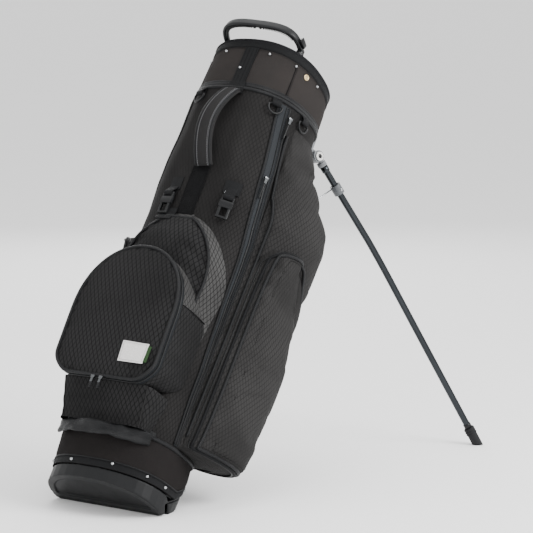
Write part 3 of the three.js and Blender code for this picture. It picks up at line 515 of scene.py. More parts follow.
def tube_faces(rings, sides, closed=False, first=0):
    """Faces through rings of points, with a cap on each end unless the tube is closed."""
    faces = []
    for i in range(rings if closed else rings - 1):
        here, ahead = first + i * sides, first + (i + 1) % rings * sides
        for a in range(sides):
            b = (a + 1) % sides
            faces.append((here + a, here + b, ahead + b, ahead + a))
    if not closed:
        faces.append(tuple(first + a for a in reversed(range(sides))))
        faces.append(tuple(first + (rings - 1) * sides + a for a in range(sides)))
    return faces


def lengths(rows):
    """Cloth coordinates in metres: along the middle row, and up each column of a grid."""
    grid = np.array([[tuple(p) for p in line] for line in rows], float) / 1000
    middle = grid[len(grid) // 2]
    u = np.concatenate(([0], np.cumsum(np.linalg.norm(np.diff(middle, axis=0), axis=1))))
    steps = np.linalg.norm(np.diff(grid, axis=0), axis=2)
    v = np.vstack((np.zeros(grid.shape[1]), np.cumsum(steps, axis=0)))
    return [(u[i], v[j, i]) for j in range(len(grid)) for i in range(grid.shape[1])]


def facing(points):
    """Cloth coordinates of a panel that faces the front: across and up the bag, in metres."""
    return [(p[1] / 1000, p[2] / 1000) for p in points]


def cloth(name, at, across, up_steps, finish, ring=False, flat=False, turned_weave=False, **k):
    """An open sheet, or with ring=True a closed band, through at(u, v)."""
    rows = grid_points(at, across, up_steps)
    points = [p for line in rows for p in line]
    uv = facing(points) if flat else lengths(rows)
    if turned_weave:
        uv = [(v, u) for u, v in uv]
    obj = piece(name, points, grid_faces(across, up_steps), finish, uv=uv, **k)
    return weld(obj, 1e-5) if ring else obj


def swept(name, path, profile, finish, closed=False, frames=None, scales=None, **k):
    """A profile of (side, out) offsets carried along a path, with a frame of two directions
    for each point; the default frame keeps out pointing away from the bag's axis. scales gives
    a size for each point."""
    count = len(path)
    points, uv, run = [], [], 0.0
    around = [0.0]
    for a, b in zip(profile, profile[1:]):
        around.append(around[-1] + math.dist(a, b) / 1000)
    for i, p in enumerate(path):
        p = Vector(p)
        if closed:
            ahead, behind = Vector(path[(i + 1) % count]), Vector(path[i - 1])
        else:
            ahead, behind = Vector(path[min(i + 1, count - 1)]), Vector(path[max(i - 1, 0)])
        along = (ahead - behind).normalized()
        if frames:
            side, out = frames[i]
        else:
            side = along.cross(radial(p)).normalized()
            out = side.cross(along).normalized()
        if i:
            run += (p - Vector(path[i - 1])).length / 1000
        wide, deep = scales[i] if scales else (1, 1)
        for n, (s, o) in enumerate(profile):
            points.append(p + side * (s * wide) + out * (o * deep))
            uv.append((around[n], run))
    faces = tube_faces(count, len(profile), closed)
    return outward(piece(name, points, faces, finish, uv=uv, **k))


def circle(radius, sides=10):
    angles = [2 * math.pi * i / sides for i in range(sides)]
    return [(radius * math.cos(a), radius * math.sin(a)) for a in angles]


def pill(width, height, corner=None, steps=4):
    """A rounded rectangle centred on the path."""
    corner = min(width, height) / 2 if corner is None else corner
    points = []
    for cx, cy, start in ((1, 1, 0), (-1, 1, 90), (-1, -1, 180), (1, -1, 270)):
        for i in range(steps + 1):
            angle = math.radians(start + 90 * i / steps)
            points.append((
                cx * (width / 2 - corner) + corner * math.cos(angle),
                cy * (height / 2 - corner) + corner * math.sin(angle),
            ))
    return points


def cord_along(name, path, radius, finish, closed=False, sides=8, **k):
    return swept(name, path, circle(radius, sides), finish, closed=closed, **k)


def spline(points, steps):
    """Evenly parametrised Catmull-Rom curve through points."""
    points = [Vector(p) for p in points]
    ends = [points[0] * 2 - points[1], *points, points[-1] * 2 - points[-2]]
    result = []
    spans = len(points) - 1
    for n in range(steps + 1):
        t = spans * n / steps
        i = min(int(t), spans - 1)
        t -= i
        a, b, c, d = ends[i:i + 4]
        result.append(0.5 * ((2 * b) + (c - a) * t + (2 * a - 5 * b + 4 * c - d) * t ** 2
                             + (3 * b - a - 3 * c + d) * t ** 3))
    return result


def spaced(path, pitch):
    """Points and directions every pitch millimetres along a path."""
    path = [Vector(p) for p in path]
    result, left = [], pitch / 2
    for a, b in zip(path, path[1:]):
        length = (b - a).length
        while left <= length and length > 0:
            result.append((a.lerp(b, left / length), (b - a).normalized()))
            left += pitch
        left -= length
    return result


def stitches(name, paths, finish="thread", pitch=4.2, length=2.9, radius=0.42, **k):
    """Rows of short threads, sunk by a third into the cloth."""
    points, faces = [], []
    for path in paths:
        for centre, along in spaced(path, pitch):
            out = radial(centre)
            side = along.cross(out).normalized()
            faces += tube_faces(4, 5, first=len(points))
            for t, r in ((-1.0, 0.25), (-0.6, 1.0), (0.6, 1.0), (1.0, 0.25)):
                for a in range(5):
                    angle = 2 * math.pi * a / 5
                    points.append(centre + along * (t * length / 2)
                                  + (side * math.cos(angle) + out * math.sin(angle)) * radius * r)
    uv = [(0.0, 0.001 * i) for i in range(len(points))]
    return piece(name, points, faces, finish, uv=uv, **k)


def turned(name, centre, axis, outline, finish, sides=20, **k):
    """A lathe shape: outline lists (radius, height along the axis)."""
    axis = Vector(axis).normalized()
    side = axis.orthogonal().normalized()
    other = axis.cross(side)
    points = []
    for radius, height in outline:
        for i in range(sides):
            a = 2 * math.pi * i / sides
            points.append(Vector(centre) + axis * height
                          + (side * math.cos(a) + other * math.sin(a)) * radius)
    uv = [(p[0] / 1000, p[2] / 1000) for p in points]
    return outward(piece(name, points, tube_faces(len(outline), sides), finish, uv=uv, **k))


def solid_copy(node, name):
    return add_object(name, frame["nodes"][node].data.copy())


def finished(obj, node, finish):
    """Bakes a node's copy, and lets it ride the node's body and stand for the node."""
    return settle(apply(obj), finish, frame["nodes"][node]["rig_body"], (node,))


def eased(node, name, finish, bevel=0.8, angle=32):
    """A solid copied with rounded edges and smooth faces."""
    obj = weld(solid_copy(node, name), 1e-6)
    obj.data.polygons.foreach_set("use_smooth", [True] * len(obj.data.polygons))
    modifier = obj.modifiers.new("ease", "BEVEL")
    modifier.width = bevel / 1000
    modifier.segments = 2
    modifier.limit_method = "ANGLE"
    modifier.angle_limit = math.radians(angle)
    modifier.use_clamp_overlap = True
    modifier.harden_normals = True
    return finished(obj, node, finish)


def recast(node, name, finish, cell, rounds):
    """A solid copied on an even mesh, so its edges come out softly rounded."""
    obj = solid_copy(node, name)
    remesh = obj.modifiers.new("recast", "REMESH")
    remesh.mode = "VOXEL"
    remesh.voxel_size = cell / 1000
    remesh.use_smooth_shade = True
    soften = obj.modifiers.new("soften", "SMOOTH")
    soften.factor = 0.5
    soften.iterations = rounds
    return finished(obj, node, finish)


def shortened(obj, factor):
    """Shortens a hanging piece along the bag, holding its upper end where it is."""
    heights = [AXIS.dot(v.co) for v in obj.data.vertices]
    top = max(heights)
    for vertex, height in zip(obj.data.vertices, heights):
        vertex.co += AXIS * ((top - height) * (1 - factor))
    return obj


def apply(obj):
    """Bakes an object's modifiers into its mesh."""
    graph = bpy.context.evaluated_depsgraph_get()
    baked = bpy.data.meshes.new_from_object(obj.evaluated_get(graph))
    obj.modifiers.clear()
    old = obj.data
    obj.data = baked
    bpy.data.meshes.remove(old)
    return obj


def panel(name, at, across, up_steps, finish, pressure, cap, slack=0.02, width=1, **k):
    """A sheet that is filled out by a cloth simulation, held by its outer width of points."""
    obj = cloth(name, at, across, up_steps, finish, **k)
    pinned = [j * (across + 1) + i for j in range(up_steps + 1) for i in range(across + 1)
              if min(i, across - i, j, up_steps - j) < width]
    puffed(obj, pinned, pressure, cap, slack)


def vertex_places(obj):
    places = np.zeros(len(obj.data.vertices) * 3)
    obj.data.vertices.foreach_get("co", places)
    return places.reshape(-1, 3)


def puffed(obj, pinned, pressure, cap, slack):
    """Fills a sheet out by at most about cap millimetres; its pinned points stay still."""
    start = vertex_places(obj)
    group = obj.vertex_groups.new(name="seams")
    group.add(pinned, 1.0, "REPLACE")
    modifier = obj.modifiers.new("cloth", "CLOTH")
    settings = modifier.settings
    settings.quality = 6
    settings.mass = 0.25
    settings.use_pressure = True
    settings.uniform_pressure_force = pressure
    settings.vertex_group_mass = "seams"
    settings.pin_stiffness = 1.0
    settings.shrink_min = -slack
    settings.tension_stiffness = 25
    settings.compression_stiffness = 25
    settings.shear_stiffness = 8
    settings.bending_stiffness = 1.5
    settings.effector_weights.gravity = 0
    modifier.collision_settings.use_collision = False
    modifier.collision_settings.use_self_collision = False
    scene = bpy.context.scene
    for number in range(1, CLOTH_FRAMES + 1):
        scene.frame_set(number)
    apply(obj)
    scene.frame_set(1)
    move = vertex_places(obj) - start
    far = np.linalg.norm(move, axis=1, keepdims=True)
    limit = cap / 1000
    held = move * (limit * np.tanh(far / limit) / np.maximum(far, 1e-9))
    obj.data.vertices.foreach_set("co", (start + held).ravel())
    obj.data.update()


def normal_at(degrees, z):
    ahead = on_bag(degrees + 1, z) - on_bag(degrees - 1, z)
    normal = ahead.cross(on_bag(degrees, z + 4) - on_bag(degrees, z - 4)).normalized()
    return normal if normal.dot(radial(on_bag(degrees, z))) > 0 else -normal


def rivet(name, degrees, z, out, radius):
    outline = ((radius * 1.15, -1.0), (radius * 1.15, 0.5), (radius * 0.98, 1.0),
               (radius * 0.8, 2.0), (radius * 0.45, 2.7), (radius * 0.12, 2.9))
    turned(name, on_bag(degrees, z, out), normal_at(degrees, z), outline, "steel")


def all_round(z, out):
    """A closed path round the bag; z may be a function of degrees."""
    return [on_bag(a, z(a) if callable(z) else z, out) for a in range(0, 360, 3)]


def hoop(name, z, out, profile, finish, **k):
    """A profile that runs right round the bag, upright."""
    path = all_round(z, out)
    return swept(name, path, profile, finish, closed=True, frames=[(UP, radial(p)) for p in path], **k)


def path_frames(path, side_at):
    """Side and out directions along an open path, with the side nearest side_at(i)."""
    frames = []
    for i in range(len(path)):
        along = (path[min(i + 1, len(path) - 1)] - path[max(i - 1, 0)]).normalized()
        side = side_at(i)
        side = (side - along * side.dot(along)).normalized()
        out = along.cross(side).normalized()
        frames.append((side, -out if out.x > 0 else out))
    return frames


def slanted(z):
    return lambda degrees: z - on_bag(degrees, z).x * RIM_SLANT


# ---- body
def body_fold(degrees, z):
    """Slack in the body cloth: long soft folds below the collar, small sags elsewhere."""
    p = on_bag(degrees, z)
    near_top = smooth(z, 430, 640) * (1 - smooth(z, 700, 757))
    lengthwise = (p.x, p.y, p.z * 0.16)
    folds = wave(lengthwise, 24.0, 3.1) * 2.6 + wave(lengthwise, 46.0, 8.2) * 2.4
    sag = wave(p, 70.0, 1.7) * 1.6 + wave(p, 24.0, 5.3) * 0.4
    edge = smooth(z, 62, 95) * (1 - smooth(z, 735, 757))
    return (folds * near_top + sag) * edge


def body_at(u, v):
    degrees, z = 360 * u - 180, lerp(CLOTH_LOW, CLOTH_HIGH, v)
    return on_bag(degrees, z, body_fold(degrees, z))


def body_lining_at(u, v):
    return on_bag(180 - 360 * u, lerp(CLOTH_LOW, CLOTH_HIGH, v), LINING_OUT)


cloth("body_cloth", body_at, 168, 150, "body", ring=True, stands_for=("body_shell",))
cloth("body_lining", body_lining_at, 60, 16, "lining", ring=True)


def collar_height(degrees, v):
    return lerp(COLLAR_LOW, slanted(COLLAR_HIGH)(degrees), v)


def collar_at(u, v):
    degrees = 360 * u - 180
    z = collar_height(degrees, v)
    p = on_bag(degrees, z)
    sag = 1.2 * wave(p, 40.0, 4.4) + 0.5 * wave(p, 16.0, 9.0)
    belly = 1.4 * math.sin(math.pi * v)
    return on_bag(degrees, z, (sag + belly) * math.sin(math.pi * v) ** 0.5)


def collar_lining_at(u, v):
    degrees = 180 - 360 * u
    return on_bag(degrees, collar_height(degrees, v), LINING_OUT)


cloth("collar_cloth", collar_at, 150, 18, "collar", ring=True, stands_for=("collar_cover",))
cloth("collar_lining", collar_lining_at, 60, 4, "lining", ring=True)

hoop("collar_piping_cord", 760.7, 0.3, pill(7.4, 6.4), "bound", stands_for=("collar_piping",))
hoop("collar_lower_tape", 769.5, 0.7, pill(9, 1.6, 0.7, 2), "bound")
hoop("rim_binding_tape", slanted(842.3), -0.4, pill(14.5, 4.2, 1.8), "dark_web",
     stands_for=("rim_binding",))
rim_profile = ((-4.5, 5.4), (-2.5, 7.0), (0.5, 7.3), (3.2, 5.4), (4.4, 2.0), (4.8, -2.0),
               (4.0, -6.0), (1.5, -8.2), (-3.0, -8.8), (-7.5, -8.6), (-8.8, -6.6), (-7.0, -3.0),
               (-4.6, 0.0))
rim = hoop("rim_mesh_pad", slanted(852), -4, rim_profile, "mesh", stands_for=("rim_pad",))
seam_paths = [all_round(slanted(837.4), 1.6), all_round(slanted(832.5), 1.3)]
stitches("rim_stitches", [p + p[:1] for p in seam_paths], pitch=4.4)
collar_line = all_round(771.8, 1.7)
stitches("collar_stitches", [collar_line + collar_line[:1]], pitch=4.4)

# The vertical seam in the collar on the right and its pair on the left.
for name, degrees in (("right", 57), ("left", -57)):
    heights = np.linspace(773, 838, 16)
    cord_along(f"collar_seam_{name}", [on_bag(degrees, z, 1.6) for z in heights], 0.8, "thread")
    beside = [on_bag(degrees + 1.6, z, 1.7) for z in heights]
    stitches(f"collar_seam_stitches_{name}", [beside])
rivet_height = slanted(829)
for number, y in enumerate((43, -55, -98, 98), 1):
    z = rivet_height(degrees_at(y, 829)) - 1
    rivet(f"collar_rivet_{number}", degrees_at(y, 834), z, 1.6, 2.4)
for name, degrees in (("side", 88), ("side_left", -88), ("back_right", 140), ("back_left", -140)):
    rivet(f"collar_rivet_{name}", degrees, rivet_height(degrees), 1.6, 2.4)
turned("collar_eyelet", on_bag(72, 829, 1.2), normal_at(72, 829),
       ((6.2, -0.5), (6.2, 0.6), (5.2, 1.5), (3.6, 1.4), (2.6, 0.3), (2.4, -0.4)), "brass")

# ---- mouth
eased("top_ring", "top_ring_moulded", "black", 1.2)
BAR_LEVEL = 814


def divider_pad(name, start, end):
    """A soft sleeve round one bar of the crossed divider."""
    path = [start.lerp(end, i / 24) for i in range(25)]
    frames = [(UP, (end - start).cross(UP).normalized())] * 25
    pinch = [(1 + 0.02 * math.sin(i * 1.7), 1 + 0.05 * math.sin(i * 2.3)) for i in range(25)]
    pad = swept(name, path, pill(31, 14, 6.5), "fleece", frames=frames, scales=pinch)


divider_pad("divider_pad_lengthwise", Vector((front_x(0, BAR_LEVEL, -15), 0, BAR_LEVEL)),
            Vector((back_x(0, BAR_LEVEL, -15), 0, BAR_LEVEL)))
reach = section(BAR_LEVEL)[0] - 15
for name, sign in (("right", -1), ("left", 1)):
    divider_pad(f"divider_pad_{name}", Vector((-2, sign * 6, BAR_LEVEL)),
                Vector((-2, sign * reach, BAR_LEVEL)))


DIVIDER_LOW, DIVIDER_HIGH = 44, 800


def lengthwise_at(u, v):
    z = lerp(DIVIDER_LOW, DIVIDER_HIGH, v)
    x = lerp(front_x(0, z, -19), back_x(0, z, -31), u)
    return Vector((x, 2.0 * wave((x, 0, z), 60, 2.2) * math.sin(math.pi * u), z))


def crosswise_at(sign):
    def at(u, v):
        z = lerp(DIVIDER_LOW, DIVIDER_HIGH, v)
        y = sign * lerp(2.2, section(z)[0] - 23.5, u)
        return Vector((-2 + 2.0 * wave((0, y, z), 60, 6.2) * math.sin(math.pi * u), y, z))
    return at


cloth("divider_cloth_lengthwise", lengthwise_at, 14, 40, "lining", stands_for=("divider_lengthwise",))
for name, sign in (("right", -1), ("left", 1)):
    cloth(f"divider_cloth_{name}", crosswise_at(sign), 10, 40, "lining", stands_for=(f"divider_{name}",))
for node in ("spine_stay", "side_stay_right", "side_stay_left"):
    eased(node, f"{node}_bar", "alloy", 0.8)

# ---- carry handle
HANDLE_RISE, HANDLE_REACH = 22, 60
HANDLE_FOOT = Vector((-66, 85, 874.5))
HANDLE_LEAN = math.atan2(HANDLE_REACH, HANDLE_RISE)
HANDLE_TURN = math.radians(9)


def handle_point(t, inset, sideways=0.0):
    """A point of the arch, t from foot to foot, inset below its top and sideways across it."""
    cos = math.cos(math.pi * t)
    lift = max(math.sin(math.pi * t), 0.0) ** 0.6
    reach = (math.hypot(HANDLE_REACH, HANDLE_RISE) - inset) * lift
    edge = sideways * (0.5 + 0.5 * lift)
    x = HANDLE_FOOT.x - reach * math.sin(HANDLE_LEAN) + edge * math.cos(HANDLE_LEAN)
    y = (HANDLE_FOOT.y - inset) * math.copysign(abs(cos) ** 0.62, cos)
    z = HANDLE_FOOT.z + reach * math.cos(HANDLE_LEAN) + edge * math.sin(HANDLE_LEAN)
    turn, swing = math.cos(HANDLE_TURN), math.sin(HANDLE_TURN)
    return Vector((x * turn - y * swing, x * swing + y * turn, z))


def handle_sweep(name, low, high, steps, inset, profile, finish, **k):
    path, frames, scales = [], [], []
    for i in range(steps + 1):
        t = lerp(low, high, i / steps)
        side = handle_point(t, inset, 4) - handle_point(t, inset, -4)
        out = (handle_point(t, inset - 4) - handle_point(t, inset + 4)).normalized()
        path.append(handle_point(t, inset))
        scales.append((side.length / 8, 1))
        frames.append((side.normalized(), out))
    swept(name, path, profile, finish, frames=frames, scales=scales, **k)


def ease_ends(t):
    return 0.5 - 0.5 * math.cos(math.pi * t)


handle_sweep("carry_handle_grip", 0.0, 1.0, 90, 3.6, pill(16, 6.6, 3.0), "handle",
             stands_for=("carry_handle",))
handle_sweep("carry_handle_web", 0.003, 0.997, 80, 8.0, pill(11.0, 6.4, 2.2), "black")


RIB_FACES = ((0, 1, 3, 2), (4, 6, 7, 5), (0, 4, 5, 1), (2, 3, 7, 6), (0, 2, 6, 4), (1, 5, 7, 3))
points, faces = [], []
for i in range(54):
    faces += [tuple(len(points) + q for q in quad) for quad in RIB_FACES]
    t = lerp(0.15, 0.85, i / 53)
    points += [handle_point(t + dt, inset, side)
               for dt in (-0.0034, 0.0034) for inset in (6.4, 11.6) for side in (-6.7, 6.7)]
outward(piece("carry_handle_ribs", points, faces, "black", uv=[(0, 0)] * len(points), soft=False))
for name, t in (("right", 0.995), ("left", 0.005)):
    foot = handle_point(t, 6.5)
    degrees = math.degrees(math.atan2(-foot.y / 117, -foot.x / 108))
    root = on_bag(degrees, 842, -8)
    mid = Vector(((foot.x + root.x) / 2, (foot.y + root.y) / 2, 866))
    path = spline([foot + Vector((0, 0, 2)), mid, root], 12)
    out = radial(foot)
    swept(f"carry_handle_foot_{name}", path, pill(19, 10, 3.5), "black",
          frames=[(Vector((-out.y, out.x, 0)), out)] * 13,
          scales=[(0.72 + 0.4 * i / 12, 1.0) for i in range(13)])
    turned(f"carry_handle_screw_{name}", foot - UP * 6 + out * 4, out,
           ((3.6, -1), (3.6, 1.2), (2.8, 2.0), (0.8, 2.1)), "steel", 14)
eased("handle_clip", "handle_clip_moulded", "black", 0.8)

# ---- front pockets
UPPER_LOW, UPPER_HIGH, UPPER_TOP, UPPER_HALF = 146, 478, 484, 104


def upper_depth(z):
    return 18 * (0.35 + 0.65 * (1 - smooth(z, 424, 496)))


def upper_half(z):
    if z < 330:
        return UPPER_HALF
    t = min((z - 330) / (UPPER_TOP - 330), 1)
    return UPPER_HALF * max(1 - t ** 2.2, 0.0) ** 0.5


def upper_point(across, z, out):
    """across runs from -1 on the left to 1 on the right of the pocket's body edge."""
    y = -max(upper_half(z), 4) * across - 12 * smooth(z, 200, 480)
    return on_bag(degrees_at(y, z), z, out)


def upper_face_at(u, v):
    z = lerp(UPPER_LOW, UPPER_HIGH, math.sin(v * math.pi / 2))
    across = 0.8 * (2 * u - 1)
    p = upper_point(across, z, 0)
    sag = 1.6 * wave(p, 55.0, 2.9) + 0.6 * wave(p, 18.0, 7.7)
    crown = 4.5 * (1 - (across / 0.8) ** 2)
    hold = min(1, (UPPER_HIGH - z) / 40 + 0.1)
    return upper_point(across, z, 3.5 + upper_depth(z) + (crown + sag) * hold)


panel("upper_pocket_face", upper_face_at, 44, 60, "ripstop", 2.0, 4.0, flat=True,
      stands_for=("upper_front_pocket",))


def upper_edge(s, outer, out):
    """Round the pocket's edge from the left foot over the top to the right foot."""
    along = 2 * s - 1
    z = lerp(UPPER_LOW, UPPER_HIGH, math.sin((1 - abs(along)) * math.pi / 2))
    return upper_point(math.copysign(outer, along), z, out(z))


def upper_gusset_at(u, v):
    u = lerp(0.085, 0.915, u)
    inner = upper_edge(u, 0.8, lambda z: 3.5 + upper_depth(z))
    along = 2 * u - 1
    z = lerp(UPPER_LOW, UPPER_HIGH + 8, math.sin((1 - abs(along)) * math.pi / 2))
    y = -math.copysign(max(upper_half(min(z, 483)), 4) + 7, along) - 12 * smooth(z, 200, 480)
    z += 5 * (1 - abs(along))
    p = inner.lerp(on_bag(degrees_at(clamp(y, -121, 121), z), z, 0.6), v)
    return p + radial(p) * (math.sin(math.pi * v) * wave(p, 12.0, 3.3))


def upper_edge_path(outer, out):
    return [upper_edge(i / 96, outer, lambda z: out + upper_depth(z)) for i in range(97)]


cloth("upper_pocket_gusset", upper_gusset_at, 110, 8, "light", turned_weave=True)
cord_along("upper_pocket_piping", upper_edge_path(0.8, 4.6), 2.9, "bound")
stitches("upper_pocket_stitches", [upper_edge_path(0.745, 6.2)])

LOWER_FACE = ((68, -106), (100, -124), (126, -133), (133, -136), (134, -149.5), (152, -151),
              (262, -156), (391, -158))
LOWER_BOTTOM, LOWER_TOP, CORNER = 134.5, 390.5, 30


def lower_half(z):
    arch = math.sqrt(max(1 - clamp((z - 262) / 129) ** 2.2, 0.0))
    low = clamp((LOWER_BOTTOM + CORNER - z) / CORNER)
    return lerp(101, 112.5, smooth(z, 134, 175)) * arch - CORNER * (1 - math.sqrt(1 - low * low))


def lower_face_x(y, z, swell=1.0):
    span = max(lower_half(z), 5)
    crown = 8 * (1 - min(abs(y) / span, 1) ** 2) * math.sin(math.pi * clamp((z - 110) / 280)) ** 0.7
    return table(LOWER_FACE, max(z, 134.2)) - crown * swell


def lower_face_at(u, v):
    z = lerp(LOWER_BOTTOM, LOWER_TOP, ease_ends(v))
    y = lower_half(z) * (1 - 2 * u) * 0.985
    sag = 1.3 * wave((0, y, z), 60.0, 12.0) + 0.5 * wave((0, y, z), 22.0, 2.0)
    hold = min(1.0, 4 * min(u, 1 - u, v, 1 - v) + 0.02)
    return Vector((lower_face_x(y, z) + sag * hold, y, z))


panel("lower_pocket_face", lower_face_at, 48, 60, "ripstop", 2.5, 4.5, flat=True,
      stands_for=("lower_front_pocket",))


def lower_outline(s):
    """Round the face from the middle of its lower edge, up the right side, over and back."""
    first = 0.1
    if s < first or s > 1 - first:
        t = (s if s < first else s - 1) / first
        return -(101 - CORNER) * t, LOWER_BOTTOM
    t = 2 * (s - first) / (1 - 2 * first)
    z = lerp(LOWER_BOTTOM, LOWER_TOP, ease_ends(min(t, 2 - t)))
    return math.copysign(lower_half(z), t - 1), z


def evened(line, count):
    """A closed line with its points evenly spaced."""
    line = line + line[:1]
    run = [0.0]
    for a, b in zip(line, line[1:]):
        run.append(run[-1] + (b - a).length)
    result, k = [], 0
    for i in range(count):
        d = run[-1] * i / count
        while k < len(run) - 2 and run[k + 1] < d:
            k += 1
        result.append(line[k].lerp(line[k + 1], clamp((d - run[k]) / max(run[k + 1] - run[k], 1e-9))))
    return result


outline = evened([Vector((lower_face_x(y, z, 0.3), y, z))
                  for y, z in (lower_outline(i / 600) for i in range(600))], 150)
FACE_MIDDLE = Vector((-154, 0, 255))
rim_frames = []
for i, p in enumerate(outline):
    along = (outline[(i + 1) % len(outline)] - outline[i - 1]).normalized()
    side = along.cross(Vector((-1, 0, 0))).normalized()
    rim_frames.append((side if side.dot(p - FACE_MIDDLE) >= 0 else -side, Vector((-1, 0, 0))))


def along_rim(behind, outside):
    """The outline moved behind the face and outside its edge."""
    return [p + Vector((behind, 0, 0)) + side * outside for p, (side, _) in zip(outline, rim_frames)]


swept("lower_pocket_piping", along_rim(-0.5, 0), circle(3.3, 12), "bound", closed=True,
      frames=rim_frames)
line = along_rim(-1.8, -6.5)
stitches("lower_pocket_stitches", [line + line[:1]])


def back_of(p):
    """Where the gusset meets what lies behind it."""
    y, z = p.y * 1.01, p.z
    over_upper = 1 - smooth(abs(y), 80, 108)
    out = lerp(1.5, 19, over_upper) if z < 470 else 1.5
    return Vector((front_x(clamp(y, -118, 118), z, out), y, z))


def gusset_band(name, finish, near, far, pucker, bulge, steps):
    """A band of the gusset from near to far millimetres behind the face; far may be None for
    all the way to the body."""
    rows = []
    for j in range(steps + 1):
        line = []
        for p, (side, _) in zip(outline + outline[:1], rim_frames + rim_frames[:1]):
            back = back_of(p)
            depth = back.x - p.x
            d = lerp(near, depth if far is None else far, j / steps)
            t = d / max(depth, 1)
            q = Vector((p.x + d, lerp(p.y, back.y, t), p.z))
            swell = bulge * math.sin(math.pi * clamp(t))
            swell += pucker * wave(q, 14.0, 5.5) * min(1, 3 * (1 - t))
            line.append(q + side * swell)
        rows.append(line)
    return piece(name, [p for line in rows for p in line], grid_faces(len(outline), steps), finish,
                 uv=[(v, u) for u, v in lengths(rows)])


ZIP_BAND, GUSSET_SEAM = 17.5, 292
gusset_band("lower_pocket_zip_band", "tape", 2.0, 19.0, 0.3, 0.6, 6)
gusset = gusset_band("lower_pocket_gusset", "ripstop", ZIP_BAND, None, 1.4, 2.0, 14)
gusset.data.materials.append(MAT["light"])
for polygon in gusset.data.polygons:
    if AXIS.dot(polygon.center) > AXIS.dot(row((0, 0, GUSSET_SEAM))):
        polygon.material_index = 1
for name, sign in (("right", 1), ("left", -1)):
    i = min((abs(p.z - GUSSET_SEAM), i) for i, p in enumerate(outline) if p.y * sign < 0)[1]
    p, side = outline[i], rim_frames[i][0]
    start = p + Vector((ZIP_BAND, 0, 0))
    seam = [start.lerp(back_of(p), t) + side * (2.4 * math.sin(math.pi * t) + 1.0)
            for t in np.linspace(0.02, 0.98, 14)]
    cord_along(f"lower_pocket_gusset_seam_{name}", seam, 0.9, "thread")
swept("lower_pocket_zip_coil", along_rim(9.5, 1.1), circle(1.7, 8), "coil", closed=True,
      frames=rim_frames)
for offset in (5.0, 15.0, 19.5):
    line = along_rim(offset, 0.9)
    stitches(f"lower_pocket_zip_stitches_{int(offset)}", [line + line[:1]])


def under_at(u, v):
    """The panel under the lower pocket, wrapped from one side of the bag to the other."""
    z = lerp(64.5, 136, v)
    half = lerp(97, 103, smooth(z, 68, 130))
    angle = math.radians(lerp(-90, 90, u))
    y = -half * math.copysign(abs(math.sin(angle)) ** 0.36, math.sin(angle))
    back = front_x(half * 0.99, z, 1.2)
    face = table(LOWER_FACE, min(z, 133)) + 1.0
    x = back + (face - back) * abs(math.cos(angle)) ** 0.36
    gather = 1 - smooth(z, 66, 112)
    creases = 2.6 * wave((0, y, z * 2.2), 26.0, 3.7) + 1.6 * wave((0, y, z), 13.0, 8.8)
    slack = 3.5 - 2.2 * wave((x, y, z), 44.0, 6.1)
    return Vector((x + slack * math.sin(math.pi * v) - (creases + 1) * gather, y, z))


cloth("under_pocket_cloth", under_at, 100, 26, "ripstop")
for name, u in (("right", 0.775), ("left", 0.225)):
    seam = [under_at(u, i / 20) + Vector((-0.8, 0, 0)) for i in range(21)]
    cord_along(f"under_pocket_seam_{name}", seam, 1.0, "strap_grey")

def upper_tab_at(u, v):
    y, z = lerp(5, 37, u), lerp(469, 497, v)
    out = lerp(upper_depth(469) + 8.5, 7, smooth(v, 0, 0.6))
    return on_bag(degrees_at(y, z), z, out + 1.5 * math.sin(math.pi * v))


def patch_at(u, v, right=-91, left=-36, low=163, high=201, lift=0.8):
    y, z = lerp(right, left, u), lerp(low, high, v)
    return Vector((min(lower_face_x(y, z, 1.55) - 1.5, -160.5) - lift, y, z))


def slab(name, at, across, up_steps, thick, finish, **k):
    """A thin sheet with a back and edges."""
    front = grid_points(at, across, up_steps)
    points = [p for line in front for p in line]
    n, wide = len(points), across + 1
    points += [p + Vector((thick, 0, 0)) for p in points]
    faces = [face for q in grid_faces(across, up_steps)
             for face in (q, tuple(n + a for a in reversed(q)))]
    border = ([i for i in range(wide)] + [(j + 1) * wide - 1 for j in range(1, up_steps + 1)]
              + [up_steps * wide + i for i in reversed(range(wide - 1))]
              + [j * wide for j in reversed(range(1, up_steps))])
    faces += [(b, a, n + a, n + b) for a, b in zip(border, border[1:] + border[:1])]
    outward(piece(name, points, faces, finish, uv=lengths(front) * 2, soft=False, **k))


# Blank woven patch with a plain tab at its side.
slab("patch_blank", patch_at, 16, 12, 1.4, "patch", stands_for=("blank_patch",))
slab("patch_tab", lambda u, v: patch_at(u, v, -98, -90.5, 166, 197, 0.2), 4, 10, 1.2, "tab")
corners = [(0.05, 0.07), (0.95, 0.07), (0.95, 0.93), (0.05, 0.93), (0.05, 0.07)]
line = [patch_at(lerp(u0, u1, i / 12), lerp(v0, v1, i / 12), lift=1.0)
        for (u0, v0), (u1, v1) in zip(corners, corners[1:]) for i in range(12)]
stitches("patch_stitches", [line + line[:1]], "thread_grey", pitch=2.6, length=1.9, radius=0.3)
slab("upper_pocket_tab", upper_tab_at, 8, 10, 2.0, "dark_web")

# ---- side and garment pockets
GARMENT_FROM, GARMENT_TO = 82, 152
SIDE_FROM, SIDE_TO, SIDE_TOP_TO = 84, 150, 106
SIDE_LOW, SIDE_HIGH = 70, 486
MM_PER_DEGREE = 1.9


def full(u):
    return max(math.sin(math.pi * clamp(u)), 0.0) ** 0.8


def garment_depth(degrees, z):
    u = (degrees - GARMENT_FROM) / (GARMENT_TO - GARMENT_FROM)
    return 3 + (table(GARMENT, z) - 3) * full(u)


